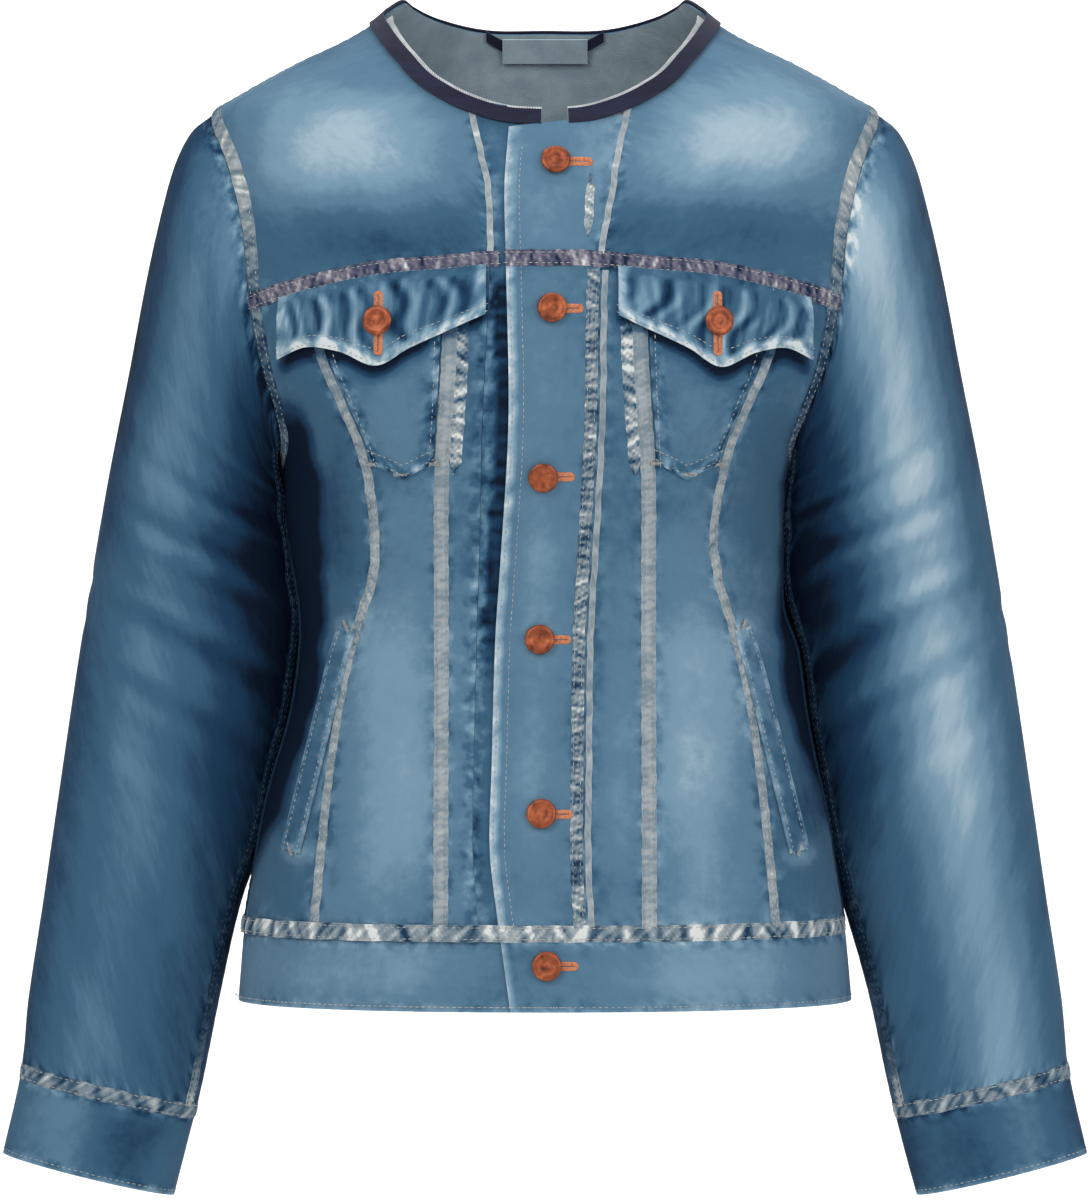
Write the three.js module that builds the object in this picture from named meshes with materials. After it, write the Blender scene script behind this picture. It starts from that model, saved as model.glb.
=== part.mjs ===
// Denim jacket, filled out as if worn. Millimetres, +Z up, the front faces -Y.
// Left is -X and right is +X, as seen by someone facing the jacket's front.
import * as THREE from 'three';

const CLOTH = 1.2; // thickness of one panel
const TAPE_CLOTH = 1.0; // thickness of the tape, tab and loop inside the neck
const SEAM_GAP = 0.3;
const LAP = 0.5; // air between a panel and what lies on it
const INSIDE_LAP = 0.8; // the same under what is sewn inside the neck
const ROUNDNESS = 2.25; // exponent of the body's rings, where 2 is an ellipse
const RADIANS = Math.PI / 180;

const HEM_Z = -567;
const BAND_SEAM_Z = -523;
const HIGH_NECK_TURN = 90; // the shoulder seams run at the rings' sides
const BINDING_WIDTH = 8.5;
const PLACKET_TOP_SHARE = 0.855; // the placket ends at this part of the yoke's height, under the binding
const BINDING_OVER_EDGE = 1.0;
const BINDING_LAP = 0.95; // air under the binding, which bridges the hollow beside the neck
const TAPE_WIDTH = 8;
const TAPE_OVER_EDGE = 3.5;
const BINDING_END = { right: 13, left: 2 }; // from the centre to each front end
const BUTTON_RADIUS = 8.4;

// The armhole is an oval on the body: its height, and how far it turns forward and back.
const ARMHOLE = { centreZ: -152.5, halfHeight: 97.5, forward: 30, backward: 28, yokeEnd: 100 };

// Rings of the body: half widths to each side, and depths before and behind the side seams.
const BODY = [
  { z: 24, left: 76, right: 76, front: 24, back: 47 },
  { z: 12, left: 85, right: 85, front: 29, back: 57 },
  { z: 4, left: 92, right: 92, front: 33, back: 62 },
  { z: -4, left: 102, right: 102, front: 40, back: 67 },
  { z: -13, left: 117.5, right: 117.5, front: 48, back: 72 },
  { z: -25, left: 143, right: 143, front: 57, back: 77 },
  { z: -42, left: 174, right: 174, front: 67, back: 83 },
  { z: -55, left: 193, right: 193, front: 73, back: 87 },
  { z: -82, left: 195, right: 195, front: 86, back: 94 },
  { z: -133, left: 194, right: 194, front: 106, back: 99 },
  { z: -152, left: 193, right: 193, front: 112, back: 99 },
  { z: -177, left: 188, right: 187, front: 117, back: 97 },
  { z: -205, left: 176, right: 174, front: 119, back: 92 },
  { z: -227, left: 162, right: 158, front: 118, back: 88 },
  { z: -250, left: 150, right: 141, front: 114, back: 84 },
  { z: -284, left: 146, right: 134, front: 105, back: 78 },
  { z: -304, left: 144, right: 133.5, front: 100, back: 75 },
  { z: -341, left: 140, right: 136, front: 95, back: 72 },
  { z: -365, left: 141, right: 145, front: 95.5, back: 75 },
  { z: -402, left: 147, right: 151, front: 101, back: 83 },
  { z: -435, left: 155.5, right: 156.5, front: 107, back: 91 },
  { z: -476, left: 164, right: 164, front: 114, back: 99 },
  { z: -519, left: 173, right: 172.5, front: 118, back: 105 },
  { z: -567, left: 177.5, right: 177.5, front: 121, back: 108 },
  { z: -590, left: 178.5, right: 178.5, front: 122, back: 109 },
];

// Height of the neck edge at each turn from the centre front, in degrees.
const NECK = [
  { turn: 0, z: -59.5 },
  { turn: 5, z: -58 },
  { turn: 10, z: -52.5 },
  { turn: 18, z: -41.5 },
  { turn: 31, z: -24 },
  { turn: 50, z: -10 },
  { turn: 68, z: -2 },
  { turn: 90, z: 5 },
  { turn: 106, z: 12 },
  { turn: 120, z: 9.5 },
  { turn: 141, z: 3.7 },
  { turn: 163, z: -1.4 },
  { turn: 180, z: -1.4 },
];

// Lower edge of the yokes at each turn; both meet the armhole at its yoke end.
const YOKE_END_TURN = 90 - ARMHOLE.forward * Math.sin(ARMHOLE.yokeEnd * RADIANS);
const YOKE_END_Z = ARMHOLE.centreZ + ARMHOLE.halfHeight * Math.cos(ARMHOLE.yokeEnd * RADIANS);
const BACK_YOKE_END_TURN = 90 + ARMHOLE.backward * Math.sin(ARMHOLE.yokeEnd * RADIANS);
const FRONT_YOKE = [
  { turn: 0, z: -147 },
  { turn: 7, z: -147 },
  { turn: 15, z: -149.5 },
  { turn: 26, z: -152 },
  { turn: 40, z: -159 },
  { turn: YOKE_END_TURN, z: YOKE_END_Z },
];
const BACK_YOKE = [
  { turn: BACK_YOKE_END_TURN, z: YOKE_END_Z },
  { turn: 140, z: -163 },
  { turn: 180, z: -160 },
];

// Front opening: the free edge on top, its seam to the right, and the strip beneath it.
const OPENING = [
  { z: -50, free: -19, right: 49, left: 44, under: 3 },
  { z: -80, free: -21.5, right: 42, left: 37, under: 12 },
  { z: -105, free: -23, right: 38, left: 32, under: 13 },
  { z: -147, free: -22, right: 31, left: 31, under: 13 },
  { z: -235, free: -20.5, right: 29, left: 35, under: 13 },
  { z: -313, free: -25, right: 25, left: 37, under: 12 },
  { z: -358, free: -28, right: 22.5, left: 38.5, under: 10 },
  { z: -431, free: -30, right: 21.5, left: 40, under: 9 },
  { z: -476, free: -31, right: 21, left: 40.5, under: 9 },
  { z: -512, free: -27, right: 22.5, left: 38, under: 11 },
  { z: -537, free: -23.5, right: 25, left: 36.5, under: 12 },
  { z: -567, free: -19.5, right: 27, left: 36, under: 14 },
];

// Front panel seams: distance from the centre at each height.
const SEAMS = [
  { z: -147, inner: 52, outer: 140 },
  { z: -202, inner: 54, outer: 125 },
  { z: -227, inner: 55.5, outer: 114 },
  { z: -262, inner: 58, outer: 101 },
  { z: -300, inner: 58.5, outer: 96.5 },
  { z: -329, inner: 58.5, outer: 99.5 },
  { z: -352, inner: 58.5, outer: 107 },
  { z: -376, inner: 58.5, outer: 113 },
  { z: -412, inner: 58.5, outer: 119 },
  { z: -450, inner: 58.5, outer: 124 },
  { z: -523, inner: 58.5, outer: 131 },
];
const BACK_SEAM = [
  { z: -160, outer: 118 },
  { z: -300, outer: 88 },
  { z: -341, outer: 84 },
  { z: -523, outer: 104 },
];

// Side edges of the sleeves, seen from the front.
const SLEEVE_OUTER = [
  { z: -55, x: 193 },
  { z: -64, x: 204 },
  { z: -80, x: 213 },
  { z: -100, x: 219.5 },
  { z: -144, x: 230 },
  { z: -203, x: 241.5 },
  { z: -270, x: 255 },
  { z: -336, x: 266.5 },
  { z: -394, x: 275.5 },
  { z: -460, x: 285 },
  { z: -510, x: 292 },
  { z: -568, x: 300.5 },
  { z: -609, x: 304.5 },
  { z: -657, x: 315 },
];
const SLEEVE_INNER = [
  { z: -250, left: 150, right: 141 },
  { z: -256, left: 152.5, right: 140 },
  { z: -265, left: 152.5, right: 139 },
  { z: -284, left: 149.5, right: 137 },
  { z: -304, left: 146, right: 135.5 },
  { z: -334, left: 141, right: 136.5 },
  { z: -350, left: 140, right: 141 },
  { z: -365, left: 141.5, right: 146.5 },
  { z: -402, left: 147, right: 151.5 },
  { z: -435, left: 156.5, right: 158 },
  { z: -470, left: 164.5, right: 165 },
  { z: -510, left: 177, right: 174 },
  { z: -568, left: 189.5, right: 189 },
  { z: -618, left: 199.5, right: 199.5 },
  { z: -658, left: 209.5, right: 209.5 },
  { z: -681.5, left: 215.5, right: 216 },
];

// Sleeve rings from the armhole down: heights at the outer and inner edge, depths, set-back.
const SLEEVE = [
  { outerZ: -55, innerZ: -250, front: 60, back: 57, shift: 0 },
  { outerZ: -63, innerZ: -252.5, front: 62, back: 58, shift: 0 },
  { outerZ: -80, innerZ: -255, front: 64, back: 60, shift: 1 },
  { outerZ: -107, innerZ: -258, front: 65, back: 61, shift: 3 },
  { outerZ: -138, innerZ: -261.5, front: 64, back: 61, shift: 5 },
  { outerZ: -178, innerZ: -266, front: 63, back: 61, shift: 8 },
  { outerZ: -220, innerZ: -273, front: 61, back: 60, shift: 11 },
  { outerZ: -262, innerZ: -285, front: 58, back: 58, shift: 14 },
  { outerZ: -300, innerZ: -308, front: 54, back: 54, shift: 17 },
  { outerZ: -336, innerZ: -346, front: 50, back: 50, shift: 19 },
  { outerZ: -372, innerZ: -389, front: 47, back: 47, shift: 19 },
  { outerZ: -408, innerZ: -428.5, front: 45, back: 45, shift: 19 },
  { outerZ: -444, innerZ: -465.5, front: 43, back: 43, shift: 18 },
  { outerZ: -480, innerZ: -502, front: 41, back: 41, shift: 16 },
  { outerZ: -516, innerZ: -538, front: 39, back: 39, shift: 14 },
  { outerZ: -552, innerZ: -574.5, front: 37, back: 37, shift: 12 },
  { outerZ: -588, innerZ: -611, front: 34, back: 34, shift: 10 },
  { outerZ: -609, innerZ: -632.5, front: 32, back: 32, shift: 9 },
  { outerZ: -633, innerZ: -657, front: 29.5, back: 29.5, shift: 8 },
  { outerZ: -657, innerZ: -681.5, front: 28, back: 28, shift: 7 },
];
const CUFF_SEAM_RING = 17;
const CUFF_END_RING = 19;
const ARMHOLE_BLEND_RINGS = 3;
const RING_LENGTH = 38; // about how much sleeve lies between two rings, as the folds count it

const TURN_LENGTH = 2.2; // about how much body cloth lies in one degree of turn

// Largest folds. On the body, turn and z place one; on a sleeve, ring and turn do.
const BODY_FOLDS = [
  { turn: 52, z: -292, lean: 62, length: 42, width: 13, depth: 2.2 },
  { turn: -54, z: -300, lean: -58, length: 46, width: 12, depth: 2.4 },
  { turn: 63, z: -352, lean: 74, length: 36, width: 14, depth: 2.0 },
  { turn: -61, z: -346, lean: -70, length: 34, width: 13, depth: 1.8 },
  { turn: 34, z: -470, lean: 12, length: 60, width: 16, depth: 1.8 },
  { turn: -31, z: -462, lean: -9, length: 66, width: 17, depth: 1.7 },
  { turn: 128, z: -300, lean: 66, length: 48, width: 14, depth: 2.2 },
  { turn: -126, z: -306, lean: -63, length: 44, width: 14, depth: 2.3 },
  { turn: 150, z: -338, lean: 82, length: 52, width: 13, depth: 1.9 },
  { turn: -152, z: -344, lean: -80, length: 50, width: 14, depth: 1.8 },
];
const SLEEVE_FOLDS = [
  { ring: 8.1, turn: 92, lean: 14, length: 40, width: 9, depth: 2.4 },
  { ring: 8.8, turn: 118, lean: -18, length: 46, width: 10, depth: 2.8 },
  { ring: 9.5, turn: 84, lean: 22, length: 36, width: 9, depth: 2.2 },
  { ring: 7.0, turn: 140, lean: 30, length: 34, width: 11, depth: 2.4 },
  { ring: 8.4, turn: -96, lean: -12, length: 42, width: 10, depth: 2.5 },
  { ring: 9.2, turn: -124, lean: 16, length: 44, width: 10, depth: 2.6 },
  { ring: 4.2, turn: -112, lean: 48, length: 40, width: 13, depth: 2.2 },
  { ring: 3.6, turn: 116, lean: -46, length: 38, width: 12, depth: 2.0 },
];
const RIGHT_FOLD_SHIFT = 0.45; // the right sleeve's folds lie this many rings lower
const FOLD_REACH = 3; // a fold fades out this many of its own widths or lengths away

// Pocket flap: fall below the yoke seam at each part of the way across.
const FLAP = [
  { across: 0, fall: 28 },
  { across: 0.2, fall: 36 },
  { across: 0.36, fall: 43 },
  { across: 0.52, fall: 51 },
  { across: 0.7, fall: 39 },
  { across: 0.86, fall: 32 },
  { across: 1, fall: 34 },
];
const FLAP_ENDS = { leftInner: 33, rightInner: 41, outer: 150 };
const POCKET_FOOT = { sideZ: -259, pointZ: -268 };
const WELT = { topX: 113, topZ: -352, footX: 144, footZ: -479, width: 11 };
const CENTRE_BUTTONS = [
  { x: 6, z: -89 },
  { x: 4, z: -173 },
  { x: -1, z: -266.5 },
  { x: -3, z: -358.5 },
  { x: -2, z: -456.5 },
  { x: 1, z: -541 },
];
const FLAP_BUTTON = { left: 92.6, right: 96, z: -179.5 };

// Rows and columns of the panels' grids.
const YOKE_STEPS = [0, 0.17, 0.34, 0.5, 0.64, 0.76, 0.855, 0.935, 1]; // closer near the neck
const UNDERARM_ROWS = 7;
const SIDE_ROWS = 12;
const FRONT_NECK_COLUMNS = 8;
const FRONT_SHOULDER_COLUMNS = 6;
const BACK_NECK_COLUMNS = 14;
const BACK_SHOULDER_COLUMNS = 5;
const SIDE_SHARE = 0.7; // part of a lower panel's height that lies below the underarm

const COLOURS = {
  denim: 0x56809c,
  denimPale: 0x8fa9b8,
  denimDark: 0x24435f,
  inside: 0x5f7078,
  navy: 0x171b37,
  tape: 0xb3b8ba,
  copper: 0xbe643c,
};

const group = new THREE.Group();

// Smooth value of one column of a table at a given key.
function lookUp(table, keyName, key, column) {
  const rising = table[table.length - 1][keyName] > table[0][keyName];
  let i = 0;
  while (i < table.length - 2 && (rising ? key > table[i + 1][keyName] : key < table[i + 1][keyName])) i++;
  const slopeOf = (a, b) => (table[b][column] - table[a][column]) / (table[b][keyName] - table[a][keyName]);
  const span = table[i + 1][keyName] - table[i][keyName];
  const f = Math.min(1, Math.max(0, (key - table[i][keyName]) / span));
  const slopeIn = i > 0 ? slopeOf(i - 1, i + 1) : slopeOf(i, i + 1);
  const slopeOut = i < table.length - 2 ? slopeOf(i, i + 2) : slopeOf(i, i + 1);
  const start = table[i][column] * (1 + 2 * f) * (1 - f) * (1 - f);
  const end = table[i + 1][column] * f * f * (3 - 2 * f);
  const bend = span * f * (1 - f) * (slopeIn * (1 - f) - slopeOut * f);
  return start + end + bend;
}

function mix(a, b, f) {
  return a + (b - a) * f;
}

function smooth(f) {
  const c = Math.min(1, Math.max(0, f));
  return c * c * (3 - 2 * c);
}

function signedPower(value, power) {
  return Math.sign(value) * Math.pow(Math.abs(value), power);
}

function sideName(side) {
  return side < 0 ? 'left' : 'right';
}

// Depth of the folds at a spot, measured in millimetres along and across each of them.
function foldDepth(folds, alongOf, acrossOf) {
  let depth = 0;
  for (const fold of folds) {
    const a = alongOf(fold);
    const b = acrossOf(fold);
    const lean = fold.lean * RADIANS;
    const along = (a * Math.cos(lean) + b * Math.sin(lean)) / fold.length;
    const across = (b * Math.cos(lean) - a * Math.sin(lean)) / fold.width;
    if (Math.abs(along) < FOLD_REACH && Math.abs(across) < FOLD_REACH) {
      depth += fold.depth * Math.exp(-along * along - across * across);
    }
  }
  return depth;
}

// A point of the unfolded body surface: turn is in degrees from the centre front.
function smoothBodyPoint(turn, z) {
  const s = Math.sin(turn * RADIANS);
  const c = Math.cos(turn * RADIANS);
  const half = lookUp(BODY, 'z', z, s < 0 ? 'left' : 'right');
  const depth = lookUp(BODY, 'z', z, c < 0 ? 'back' : 'front');
  const power = 2 / ROUNDNESS;
  return new THREE.Vector3(half * signedPower(s, power), -depth * signedPower(c, power), z);
}

function normalOf(surface, u, v, du, dv) {
  const alongU = surface(u + du, v).sub(surface(u - du, v));
  const alongV = surface(u, v + dv).sub(surface(u, v - dv));
  return alongU.cross(alongV).normalize();
}

function bodyNormal(turn, z) {
  return normalOf(smoothBodyPoint, turn, z, 0.6, 1.2);
}

function bodyPoint(turn, z) {
  const point = smoothBodyPoint(turn, z);
  const wrapped = ((((turn + 180) % 360) + 360) % 360) - 180;
  const depth = foldDepth(
    BODY_FOLDS,
    (fold) => z - fold.z,
    (fold) => (wrapped - fold.turn) * TURN_LENGTH,
  );
  return point.addScaledVector(bodyNormal(turn, z), -depth);
}

// Turn, in degrees, of the front surface at a distance x from the centre.
function turnAt(x, z) {
  const half = lookUp(BODY, 'z', z, x < 0 ? 'left' : 'right');
  const share = Math.min(1, Math.abs(x) / half);
  return (Math.sign(x) * Math.asin(Math.pow(share, ROUNDNESS / 2))) / RADIANS;
}

function neckZ(turn) {
  const wrapped = Math.abs(((((turn + 180) % 360) + 360) % 360) - 180);
  return lookUp(NECK, 'turn', wrapped, 'z');
}

function yokeZ(turn) {
  const wrapped = Math.abs(((((turn + 180) % 360) + 360) % 360) - 180);
  return wrapped < 90 ? lookUp(FRONT_YOKE, 'turn', wrapped, 'z') : lookUp(BACK_YOKE, 'turn', wrapped, 'z');
}

// A spot of the armhole: angle 0 is its top, 180 its bottom, and below 0 is its back half.
function armholeSpot(side, angle) {
  const s = Math.sin(angle * RADIANS);
  const turn = s >= 0 ? 90 - ARMHOLE.forward * s : 90 - ARMHOLE.backward * s;
  return [side * turn, ARMHOLE.centreZ + ARMHOLE.halfHeight * Math.cos(angle * RADIANS)];
}

// Where a seam, given as a distance from the centre at each height, meets an edge across it.
function meetingSpot(distanceAt, edgeZ, guessZ) {
  let z = guessZ;
  for (let step = 0; step < 12; step++) z = edgeZ(turnAt(distanceAt(z), z));
  return [turnAt(distanceAt(z), z), z];
}

// A patch of spots blended from its four edges, each a function from 0 to 1 to [turn, z].
function blendedPatch(bottom, top, left, right) {
  return (u, v) => {
    const corner = [bottom(0), bottom(1), top(0), top(1)];
    return [0, 1].map((k) => {
      const rows = mix(bottom(u)[k], top(u)[k], v);
      const columns = mix(left(v)[k], right(v)[k], u);
      const corners = mix(mix(corner[0][k], corner[1][k], u), mix(corner[2][k], corner[3][k], u), v);
      return rows + columns - corners;
    });
  };
}

// Moves the rim of a grid of points inward along the cloth by half of the seam gap.
function insetRim(points, normals, closed, gap) {
  const rows = points.length - 1;
  const columns = points[0].length - 1;
  const moved = points.map((row) => row.map((p) => p.clone()));
  const push = (j, i, alongA, alongB, inner) => {
    const along = alongB.clone().sub(alongA).normalize();
    const inward = along.cross(normals[j][i]).normalize();
    const toInner = inner.clone().sub(points[j][i]);
    if (inward.dot(toInner) < 0) inward.negate();
    moved[j][i].addScaledVector(inward, gap / 2);
  };
  for (let i = 0; i <= columns; i++) {
    const before = closed ? (i + columns - 1) % columns : Math.max(0, i - 1);
    const after = closed ? (i + 1) % columns : Math.min(columns, i + 1);
    push(0, i, points[0][before], points[0][after], points[1][i]);
    push(rows, i, points[rows][before], points[rows][after], points[rows - 1][i]);
  }
  if (!closed) {
    for (let j = 0; j <= rows; j++) {
      const before = Math.max(0, j - 1);
      const after = Math.min(rows, j + 1);
      push(j, 0, points[before][0], points[after][0], points[j][1]);
      push(j, columns, points[before][columns], points[after][columns], points[j][columns - 1]);
    }
  }
  return moved;
}

// A mesh from vertices and triangles, turned the right way out.
function solidMesh(name, vertices, triangles, colour) {
  let volume = 0;
  for (const [a, b, c] of triangles) {
    volume += vertices[a].dot(vertices[b].clone().cross(vertices[c]));
  }
  const facing = volume < 0 ? triangles.map(([a, b, c]) => [a, c, b]) : triangles;
  const geometry = new THREE.BufferGeometry();
  const positions = vertices.flatMap((p) => [p.x, p.y, p.z]);
  geometry.setAttribute('position', new THREE.Float32BufferAttribute(positions, 3));
  geometry.setIndex(facing.flat());
  geometry.computeVertexNormals();
  const mesh = new THREE.Mesh(geometry, new THREE.MeshStandardMaterial({ color: colour, roughness: 0.9 }));
  mesh.name = name;
  group.add(mesh);
  return mesh;
}

// A wall between two grids of points; a closed one runs round into a tube.
function addWall(name, outer, inner, closed, colour) {
  const rows = outer.length - 1;
  const columns = outer[0].length - 1;
  const perRow = closed ? columns : columns + 1;
  const vertices = [];
  for (const grid of [outer, inner]) {
    for (const row of grid) vertices.push(...row.slice(0, perRow));
  }
  const layer = (rows + 1) * perRow;
  const at = (side, j, i) => side * layer + j * perRow + (i % perRow);
  const triangles = [];
  const quad = (a, b, c, d) => triangles.push([a, b, c], [a, c, d]);
  for (let j = 0; j < rows; j++) {
    for (let i = 0; i < columns; i++) {
      quad(at(0, j, i), at(0, j, i + 1), at(0, j + 1, i + 1), at(0, j + 1, i));
      quad(at(1, j, i), at(1, j + 1, i), at(1, j + 1, i + 1), at(1, j, i + 1));
    }
  }
  for (let i = 0; i < columns; i++) {
    quad(at(0, 0, i), at(1, 0, i), at(1, 0, i + 1), at(0, 0, i + 1));
    quad(at(0, rows, i), at(0, rows, i + 1), at(1, rows, i + 1), at(1, rows, i));
  }
  if (!closed) {
    for (let j = 0; j < rows; j++) {
      quad(at(0, j, 0), at(0, j + 1, 0), at(1, j + 1, 0), at(1, j, 0));
      quad(at(0, j, columns), at(1, j, columns), at(1, j + 1, columns), at(0, j + 1, columns));
    }
  }
  return solidMesh(name, vertices, triangles, colour);
}

function evenSteps(count) {
  return Array.from({ length: count + 1 }, (_, k) => k / count);
}

// A panel of the body: a patch of spots, its steps across and up, and its height off the body.
function addPanel(name, patch, across, up, options = {}) {
  const { lift = () => 0, thickness = CLOTH, gap = SEAM_GAP, colour = COLOURS.denim } = options;
  const spots = up.map((v) => across.map((u) => patch(u, v)));
  const points = spots.map((row) => row.map(([turn, z]) => bodyPoint(turn, z)));
  const normals = spots.map((row) => row.map(([turn, z]) => bodyNormal(turn, z)));
  const moved = insetRim(points, normals, false, gap);
  const raise = (extra) =>
    moved.map((row, j) =>
      row.map((p, i) => p.clone().addScaledVector(normals[j][i], lift(...spots[j][i]) + extra)),
    );
  return addWall(name, raise(0), raise(-thickness), false, colour);
}

// Steps up a lower panel: below the underarm, then beside the armhole.
function lowerSteps() {
  const below = evenSteps(SIDE_ROWS).map((f) => f * SIDE_SHARE);
  const beside = evenSteps(UNDERARM_ROWS).map((f) => SIDE_SHARE + f * (1 - SIDE_SHARE));
  return [...below, ...beside.slice(1)];
}

function openingEdge(side) {
  return (z) => side * lookUp(OPENING, 'z', z, sideName(side));
}

function frontSeam(side, column) {
  return (z) => side * lookUp(SEAMS, 'z', z, column);
}

// A seam of the front from the hem band up to the yoke.
function lowerSeam(distanceAt) {
  const topSpot = meetingSpot(distanceAt, yokeZ, -150);
  return (v) => {
    const z = mix(BAND_SEAM_Z, topSpot[1], v);
    return v === 1 ? topSpot : [turnAt(distanceAt(z), z), z];
  };
}

// The side edge of a lower panel: the side seam, then the armhole up to the yoke.
function sideEdge(side, back) {
  return (v) => {
    if (v <= SIDE_SHARE) return [side * 90, mix(BAND_SEAM_Z, armholeSpot(side, 180)[1], v / SIDE_SHARE)];
    const angle = mix(180, ARMHOLE.yokeEnd, (v - SIDE_SHARE) / (1 - SIDE_SHARE));
    return armholeSpot(side, back ? -angle : angle);
  };
}

// A lower panel between two of its side edges.
function lowerPanel(leftEdge, rightEdge) {
  const bottom = (u) => [mix(leftEdge(0)[0], rightEdge(0)[0], u), BAND_SEAM_Z];
  const top = (u) => {
    const turn = mix(leftEdge(1)[0], rightEdge(1)[0], u);
    return [turn, yokeZ(turn)];
  };
  return blendedPatch(bottom, top, leftEdge, rightEdge);
}

function addFrontPanels(side) {
  const name = sideName(side);
  const opening = lowerSeam(openingEdge(side));
  const inner = lowerSeam(frontSeam(side, 'inner'));
  const outer = lowerSeam(frontSeam(side, 'outer'));
  const rows = lowerSteps();
  addPanel(`front_centre_${name}`, lowerPanel(opening, inner), evenSteps(2), rows);
  addPanel(`front_middle_${name}`, lowerPanel(inner, outer), evenSteps(4), rows);
  addPanel(`front_side_${name}`, lowerPanel(outer, sideEdge(side, false)), evenSteps(5), rows, {
    colour: COLOURS.denimDark,
  });
}

// Turn of the front neck edge at each part of its way from a start to the shoulder seam.
function frontNeckTurn(startTurn, side, f) {
  return mix(startTurn, side * HIGH_NECK_TURN, Math.pow(f, 1.35));
}

// The neck edge from a turn to the shoulder seam, then the shoulder seam out to the armhole.
const FRONT_COLUMNS = FRONT_NECK_COLUMNS + FRONT_SHOULDER_COLUMNS;
function neckAndShoulder(startTurn, side) {
  const neckShare = FRONT_NECK_COLUMNS / FRONT_COLUMNS;
  return (u) => {
    if (u <= neckShare) {
      const turn = frontNeckTurn(startTurn, side, u / neckShare);
      return [turn, neckZ(turn)];
    }
    const f = (u - neckShare) / (1 - neckShare);
    return [side * HIGH_NECK_TURN, mix(neckZ(HIGH_NECK_TURN), armholeSpot(side, 0)[1], f)];
  };
}

function addFrontYoke(side) {
  const distanceAt = openingEdge(side);
  const foot = meetingSpot(distanceAt, yokeZ, -147);
  const neck = meetingSpot(distanceAt, neckZ, -55);
  const left = (v) => {
    const z = mix(foot[1], neck[1], v);
    if (v === 0) return foot;
    return v === 1 ? neck : [turnAt(distanceAt(z), z), z];
  };
  const right = (v) => armholeSpot(side, mix(ARMHOLE.yokeEnd, 0, v));
  const bottom = (u) => {
    const turn = mix(foot[0], side * YOKE_END_TURN, u);
    return [turn, yokeZ(turn)];
  };
  const patch = blendedPatch(bottom, neckAndShoulder(neck[0], side), left, right);
  addPanel(`front_yoke_${sideName(side)}`, patch, evenSteps(FRONT_COLUMNS), YOKE_STEPS, {
    colour: COLOURS.denimPale,
  });
}

function addBack() {
  const columns = BACK_NECK_COLUMNS + 2 * BACK_SHOULDER_COLUMNS;
  const shoulder = BACK_SHOULDER_COLUMNS / columns;
  const spread = (u) => {
    if (u < shoulder) return [90, mix(armholeSpot(1, 0)[1], neckZ(90), u / shoulder)];
    if (u > 1 - shoulder) return [270, mix(armholeSpot(1, 0)[1], neckZ(90), (1 - u) / shoulder)];
    const turn = mix(90, 270, (u - shoulder) / (1 - 2 * shoulder));
    return [turn, neckZ(turn)];
  };
  const bottom = (u) => {
    const turn = mix(BACK_YOKE_END_TURN, 360 - BACK_YOKE_END_TURN, u);
    return [turn, yokeZ(turn)];
  };
  const rightEdge = (v) => armholeSpot(1, -mix(ARMHOLE.yokeEnd, 0, v));
  const leftEdge = (v) => {
    const [turn, z] = armholeSpot(1, -mix(ARMHOLE.yokeEnd, 0, v));
    return [360 - turn, z];
  };
  addPanel('back_yoke', blendedPatch(bottom, spread, rightEdge, leftEdge), evenSteps(columns), YOKE_STEPS, {
    colour: COLOURS.denimPale,
  });

  const distanceAt = (z) => lookUp(BACK_SEAM, 'z', z, 'outer');
  const seamTop = meetingSpot(distanceAt, (turn) => yokeZ(180 - turn), -160);
  const backSeam = (side) => (v) => {
    const z = mix(BAND_SEAM_Z, seamTop[1], v);
    const turn = 180 - turnAt(distanceAt(z), z);
    return [side > 0 ? turn : 360 - turn, z];
  };
  const unturned = (edge) => (v) => {
    const [turn, z] = edge(v);
    return [turn + 360, z];
  };
  const rows = lowerSteps();
  addPanel('back_centre', lowerPanel(backSeam(1), backSeam(-1)), evenSteps(8), rows);
  addPanel('back_side_right', lowerPanel(sideEdge(1, true), backSeam(1)), evenSteps(5), rows);
  addPanel('back_side_left', lowerPanel(backSeam(-1), unturned(sideEdge(-1, true))), evenSteps(5), rows);
}

// How far the top front stands off the front beneath it, easing down to its own seam.
function lapLift(turn, z) {
  const x = smoothBodyPoint(turn, z).x;
  const seam = lookUp(OPENING, 'z', z, 'right') - 1;
  const under = lookUp(OPENING, 'z', z, 'under') + 4;
  const onFront = Math.cos(turn * RADIANS) > 0;
  return onFront ? (CLOTH + LAP) * smooth((seam - x) / (seam - under)) : 0;
}

// An edge of the front opening: 0 to 1 runs up to the yoke seam, 1 to 2 on up to the neck.
function openingEdgeUp(distanceAt) {
  const lower = lowerSeam(distanceAt);
  const foot = lower(1);
  const neck = meetingSpot(distanceAt, neckZ, -55);
  return (v) => {
    if (v <= 1) return lower(v);
    const z = mix(foot[1], neck[1], v - 1);
    return v === 2 ? neck : [turnAt(distanceAt(z), z), z];
  };
}

// A strip of the opening between two distances from the centre, in rows shared with the panels.
function addOpeningStrip(name, leftOf, rightOf, columns, topShare, options) {
  const left = openingEdgeUp(leftOf);
  const right = openingEdgeUp(rightOf);
  const patch = (u, v) => [0, 1].map((k) => mix(left(v)[k], right(v)[k], u));
  const upper = YOKE_STEPS.slice(1).filter((step) => step <= topShare);
  const steps = [...lowerSteps(), ...upper.map((step) => 1 + step)];
  addPanel(name, patch, evenSteps(columns), steps, options);
}

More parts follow.
